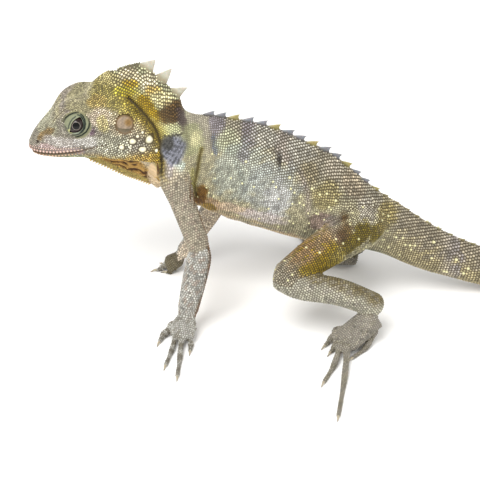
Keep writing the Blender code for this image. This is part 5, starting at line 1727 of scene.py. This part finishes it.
def lidColour(flat, fromEdge):
    # grey-green lids: a lighter rim behind, a pale front corner, a dark edge against the eye and dark folds
    # as painted shade in the creases, darker the deeper the fold, olive above and pinkish grey below further
    # out
    reach = np.hypot(flat[:, 0], flat[:, 1])
    c = lidColours
    tint = mix(c["inner"], c["outer"], smoothStep(4.2, 5.4, reach))
    tint = mix(tint, c["above"], smoothStep(4.8, 6.4, reach) * smoothStep(0.5, 3.5, flat[:, 1]))
    tint = mix(tint, c["below"], smoothStep(5.2, 6.4, reach) * smoothStep(0.5, 3.5, -flat[:, 1]))
    rear = smoothStep(-0.4, 1.2, flat[:, 0] - 0.6 * flat[:, 1])
    tint = mix(tint, c["rim"], bell(fromEdge - 0.45, 0.32) * rear)
    tint = mix(tint, c["corner"], 1 - smoothStep(0.5, 1.5, np.hypot(flat[:, 0] + 2.6, flat[:, 1] + 2.3)))
    # painted shade: a dark line at the edge against the eye, and along each fold, the deeper the darker
    tint = mix(tint, c["edge"], 1 - smoothStep(0.04, 0.2, fromEdge))
    for depth, half, line in eyeForm["folds"]:
        tint = mix(tint, c["fold"], min(1.0, 0.6 + depth * 2.4) * bell(lineDistance(flat, line), half + 0.14))
    return tint


def makeLids(side, word):
    # a shell from the opening's edge to a sunk outer ring: its height over the eye's plane is that of the
    # closed skin, at least the ball's with a rounded rim, less a bell curve along each fold
    form = eyeForm
    around, levels = form["lidAround"], form["lidLevels"]
    loop = np.array(form["opening"])
    places = np.linspace(0, len(loop), around, endpoint=False)
    index, t = places.astype(int), (places % 1)[:, None]
    opening = blendFour([loop[(index + k - 1) % len(loop)] for k in range(4)], t)
    outward = unit(opening - form["middle"])
    outer = outward * form["lidReach"]
    s = np.concatenate([np.linspace(0, 0.06, 10)[:-1], np.linspace(0.06, 1, levels - 9)])[:, None, None]
    flat = opening + s * (outer - opening)
    fromEdge = np.linalg.norm(flat - opening, axis=2)
    centre, out, up = eyeAxes(side)
    back = np.array([1.0, 0.0, 0.0])
    flatRows = flat.reshape(-1, 2)
    starts = centre + flatRows[:, :1] * back + flatRows[:, 1:] * up + out * 12
    hit = castOn(surface, starts, np.broadcast_to(-out, starts.shape))
    high = np.nan_to_num((hit - centre) @ out, nan=1.0).reshape(flat.shape[:2])
    for _ in range(14):  # each height the mean of itself and its four neighbours
        inner, outer = np.vstack([high[:1], high[:-1]]), np.vstack([high[1:], high[-1:]])
        high = (high + np.roll(high, 1, 1) + np.roll(high, -1, 1) + inner + outer) / 5
    reach = np.linalg.norm(flat, axis=2)
    ball = np.sqrt(np.maximum(form["ballRadius"] ** 2 - reach**2, 0.04))
    rim = np.clip(fromEdge / 0.34, 0, 1)
    top = np.maximum(high + 0.05, ball + form["rimHeight"] * (reach < 4.2))
    top = ball + 0.02 + (top - ball - 0.02) * np.sqrt(1 - (1 - rim) ** 2)
    fold = sum(depth * bell(lineDistance(flatRows, line), half) for depth, half, line in form["folds"])
    fold = fold - 0.05 * ripple(np.column_stack([flatRows, flatRows[:, 0] * 0]), 0.9, 41)
    top = (top - fold.reshape(top.shape) * smoothStep(0.05, 0.3, fromEdge)
           - 0.22 * smoothStep(5.7, form["lidReach"], reach))
    place = lambda height: centre + flat[..., :1] * back + flat[..., 1:] * up + height[..., None] * out
    grid = np.concatenate([place(top), place(top - form["lidThickness"])[:0:-1]])
    tint = lidColour(flatRows, fromEdge.ravel())
    points = grid.reshape(-1, 3)
    triangles = facingOut(points, ringFaces(len(grid), around, len(grid)), centre)
    under = np.flip(tint.reshape(len(s), around, 3), axis=0)[:-1].reshape(-1, 3)
    colouredPiece("lids" + word, [(points, triangles, np.vstack([tint, under]))], lidHide, "grey_skin")


lipForm = {
    # mm back from the snout: where they end, and where they turn round it
    "height": 0.42, "end": pitForm["mouthEnd"], "fan": 9.0,
    # level from the mouth line, pitch, half height, colour at the snout and at the corner of the mouth
    "rows": ((0.86, 1.5, 0.58, "#dcbcb1", "#cfbfa9"), (1.95, 1.1, 0.4, "#cdb6aa", "#c6bfae"),
             (-0.78, 1.4, 0.42, "#c3a68c", "#b3a27c")),
    # edge: the lip plates' foot ring, dark brown as painted shade at their base
    "edge": "#5c3d2e",
}


def lipPath(level):
    # a line along the mouth, round the snout and back, at one level above or below the mouth line
    end, fan, beside, ahead = lipForm["end"], lipForm["fan"], 60, 80
    stops = np.concatenate([np.linspace(end, fan, beside), np.full(ahead, fan),
                            np.linspace(fan, end, beside)])
    turn = np.concatenate([np.full(beside, pi / 2), np.linspace(pi / 2, -pi / 2, ahead),
                           np.full(beside, -pi / 2)])
    line = np.array(headForm["mouthLine"])
    a = stops
    for _ in range(3):
        c = np.interp(a, line[:, 0], line[:, 1]) + level
        starts = headPoint(stops, 0 * stops, c)
        ways = headPoint(stops - np.cos(turn), np.sin(turn), c) - starts
        hit = castOn(surface, starts, ways)
        a = headPlaces(hit)[:, 0]
    return hit


def platesAt(centres, ways, radii, height, tops, edges):
    # low plates on the skin, each with its own outline, as large scales
    place, normal, _ = onSurface(surface, centres)
    along, side = frames(normal, ways)
    count = len(centres)
    built = buildScales(place, normal, along, side, radii, np.full(count, height), np.zeros(count),
                        np.zeros(count), tops, edges,
                        np.zeros((count, 2)))
    return built[:3]


def lipShapes():
    # rounded oblongs: the outline's radius is (|cos / half length|^5 + |sin / half height|^5)^(-1/5)
    form = lipForm
    shapes = []
    for level, pitch, halfHeight, front, rear in form["rows"]:
        path = lipPath(level)
        run = np.concatenate([[0], np.cumsum(np.linalg.norm(np.diff(path, axis=0), axis=1))])
        count = int(run[-1] / pitch)
        stops = (np.arange(count) + 0.5) * run[-1] / count
        at = lambda stop: np.stack([np.interp(stop, run, path[:, k]) for k in range(3)], 1)
        centres, ways = at(stops), at(stops + 0.4) - at(stops - 0.4)
        turn = np.arange(12) * pi / 6
        half = 0.5 * run[-1] / count * 0.8
        a = headPlaces(centres)[:, 0]
        high = halfHeight * (1 - 0.55 * smoothStep(form["end"] - 7, form["end"], a))[:, None]
        radius = ((np.abs(np.cos(turn)) / half) ** 5 + (np.abs(np.sin(turn)) / high) ** 5) ** -0.2
        tops = mix(front, rear, smoothStep(6, 27, a))
        tops = tops * (1 + 0.05 * ripple(centres, 2.5, 51))[:, None]
        edges = np.tile(hexToSrgb(form["edge"]), (count, 1))
        shapes.append(platesAt(centres, ways, radius, form["height"], tops, edges))
    return shapes


def cheekShapes():
    # plates on both sides: an ellipse's radius, uneven by sines of three and five times the bearing
    form, sides = cheekPlates, 14
    turn = np.arange(sides) * 2 * pi / sides
    rows = np.array(form["plates"])
    tops, edges = (np.tile(hexToSrgb(form[key]), (len(rows), 1)) for key in ("colour", "edge"))
    shapes = []
    for side in (-1, 1):
        starts = np.column_stack([rows[:, 0], np.full(len(rows), 30.0 * side), rows[:, 1]])
        hit = castOn(surface, starts, np.tile((0.0, -1.0 * side, 0.0), (len(rows), 1)))
        radii = 1 / np.sqrt((np.cos(turn) / rows[:, 2:3]) ** 2 + (np.sin(turn) / rows[:, 3:4]) ** 2)
        radii *= 1 + 0.05 * np.sin(3 * turn + rows[:, :1]) + 0.04 * np.sin(5 * turn + rows[:, 1:2])
        shapes.append(platesAt(hit, np.tile((1.0, 0.0, 0.0), (len(rows), 1)), radii, form["height"], tops,
                               edges))
    return shapes


drumColours = ("#8b7a66", "#77592c", "#5f4a2c")  # rosy grey, brown, and the rim


def makeEardrum(side, word):
    # a thin lens of bare skin, seated in its pit: orange-brown above and behind, rosy grey elsewhere
    a, b, c = headForm["ear"]
    start = headPoint(a, 30.0 * side, c)
    hit = castOn(surface, start[None], (headPoint(a, b * side, c) - start)[None])[0]
    _, normal, _ = onSurface(surface, hit[None])
    normal = unit(normal[0] + np.array([0.0, -2.0 * side, 0.0]))
    along, across = frames(normal[None], np.array([[1.0, 0.0, 0.0]]))
    tilt = np.linspace(0.02, pi - 0.02, 40)
    turn = np.linspace(0, 2 * pi, 64, endpoint=False)
    ring = np.cos(turn)[:, None] * along[0] + np.sin(turn)[:, None] * across[0]
    radius = headForm["earRadius"] * 0.97
    grid = (hit + 0.02 * normal + radius * np.sin(tilt)[:, None, None] * ring
            + 0.42 * np.cos(tilt)[:, None, None] * normal)
    points, triangles = closedLoft(grid)
    local = points - hit
    middle, brown, rim = drumColours
    tint = mix(middle, brown, 1 - smoothStep(0.4, 2.4, np.hypot(local[:, 0] - 1.6, local[:, 2] - 0.6)))
    tint = mix(tint, rim, smoothStep(0.74, 0.96, np.hypot(local[:, 0], local[:, 2]) / radius))
    tint = tint * (1 + 0.1 * ripple(points, 1.1, 61))[:, None]
    colouredPiece("eardrum" + word, [(points, triangles, tint)], lidHide, "eardrum", ["ear_" + word.lower()])


colouredPiece("lips", lipShapes(), scaleKeratin, "olive_skin")
colouredPiece("cheekPlates", cheekShapes(), scaleKeratin, "olive_skin")
for eyeSide, eyeWord in ((1, "Left"), (-1, "Right")):
    makeLids(eyeSide, eyeWord)
    makeEardrum(eyeSide, eyeWord)
glassEye = eyeMaterial()
for eyeSide, eyeWord in ((1, "Left"), (-1, "Right")):
    makeEye(eyeSide, eyeWord, glassEye)
print("crest, claws and eyes made")


# Camera, floor and light

stageSettings = {
    # mm, in the shape's frame
    "distance": 700.0, "elevation": math.radians(31.0), "target": (0.0, 0.0, 24.0),
    "widthAtTarget": 480 / 2.43,  # mm that the picture's 480 pixels cover at that distance
    "floor": "#fbfaf8", "floorSize": 12.0, "floorDrop": 0.0001, "world": 0.8, "sensor": 36.0,
    "clipStart": 0.01,
    "key": {"place": (-0.45, -0.6, 1.0), "size": 0.6, "power": 12.5},
    "fill": {"place": (0.7, -0.5, 0.55), "size": 0.9, "power": 3.0},
}


def setStage():
    form = stageSettings
    target = (np.array(form["target"]) + shift) * mm
    tilt = form["elevation"]
    ahead = np.array([0, math.cos(tilt), -math.sin(tilt)])
    data = bpy.data.cameras.new("camera")
    camera = bpy.data.objects.new("camera", data)
    bpy.context.scene.collection.objects.link(camera)
    camera.location = target - ahead * form["distance"] * mm
    camera.rotation_euler = (pi / 2 - tilt, 0, 0)
    data.sensor_width, data.lens = form["sensor"], form["sensor"] * form["distance"] / form["widthAtTarget"]
    data.clip_start = form["clipStart"]
    bpy.context.scene.camera = camera
    bpy.ops.mesh.primitive_plane_add(size=form["floorSize"], location=(0, 0, -form["floorDrop"]))
    floor = bpy.context.active_object
    floor.name = "floor"
    material, tree = newMaterial("floorPaper")  # seamless matt studio paper
    finish(tree, addNode(tree, "BsdfPrincipled", None,
                         {"Base Color": (*toLinear(hexToSrgb(form["floor"])), 1), "Roughness": 0.9}))
    floor.data.materials.append(material)
    for key in ("key", "fill"):
        light = bpy.data.lights.new(key, "AREA")
        light.energy, light.size = form[key]["power"], form[key]["size"]
        lamp = bpy.data.objects.new(key, light)
        bpy.context.scene.collection.objects.link(lamp)
        lamp.location = form[key]["place"]
        lamp.rotation_euler = (Vector(target) - lamp.location).to_track_quat("-Z", "Y").to_euler()
    world = bpy.data.worlds.new("studio")
    bpy.context.scene.world = world
    world.use_nodes = True
    world.node_tree.nodes["Background"].inputs["Color"].default_value = (1, 1, 1, 1)
    world.node_tree.nodes["Background"].inputs["Strength"].default_value = form["world"]
    bpy.context.scene.view_settings.view_transform = "Standard"


setStage()

# Flesh parts hidden under the skin, and every piece hung on the root

flesh = ["head", "lower_jaw", "neck", "torso", "gular_pouch"] + [f"tail_{n}" for n in range(1, 6)]
flesh += [f"{part}_{side}" for part in ("upper_arm", "forearm", "hand", "thigh", "shin", "foot")
          for side in ("left", "right")]
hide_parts(*flesh)
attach(skin, "root")
for piece, slot in pieces:
    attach(piece, "root")
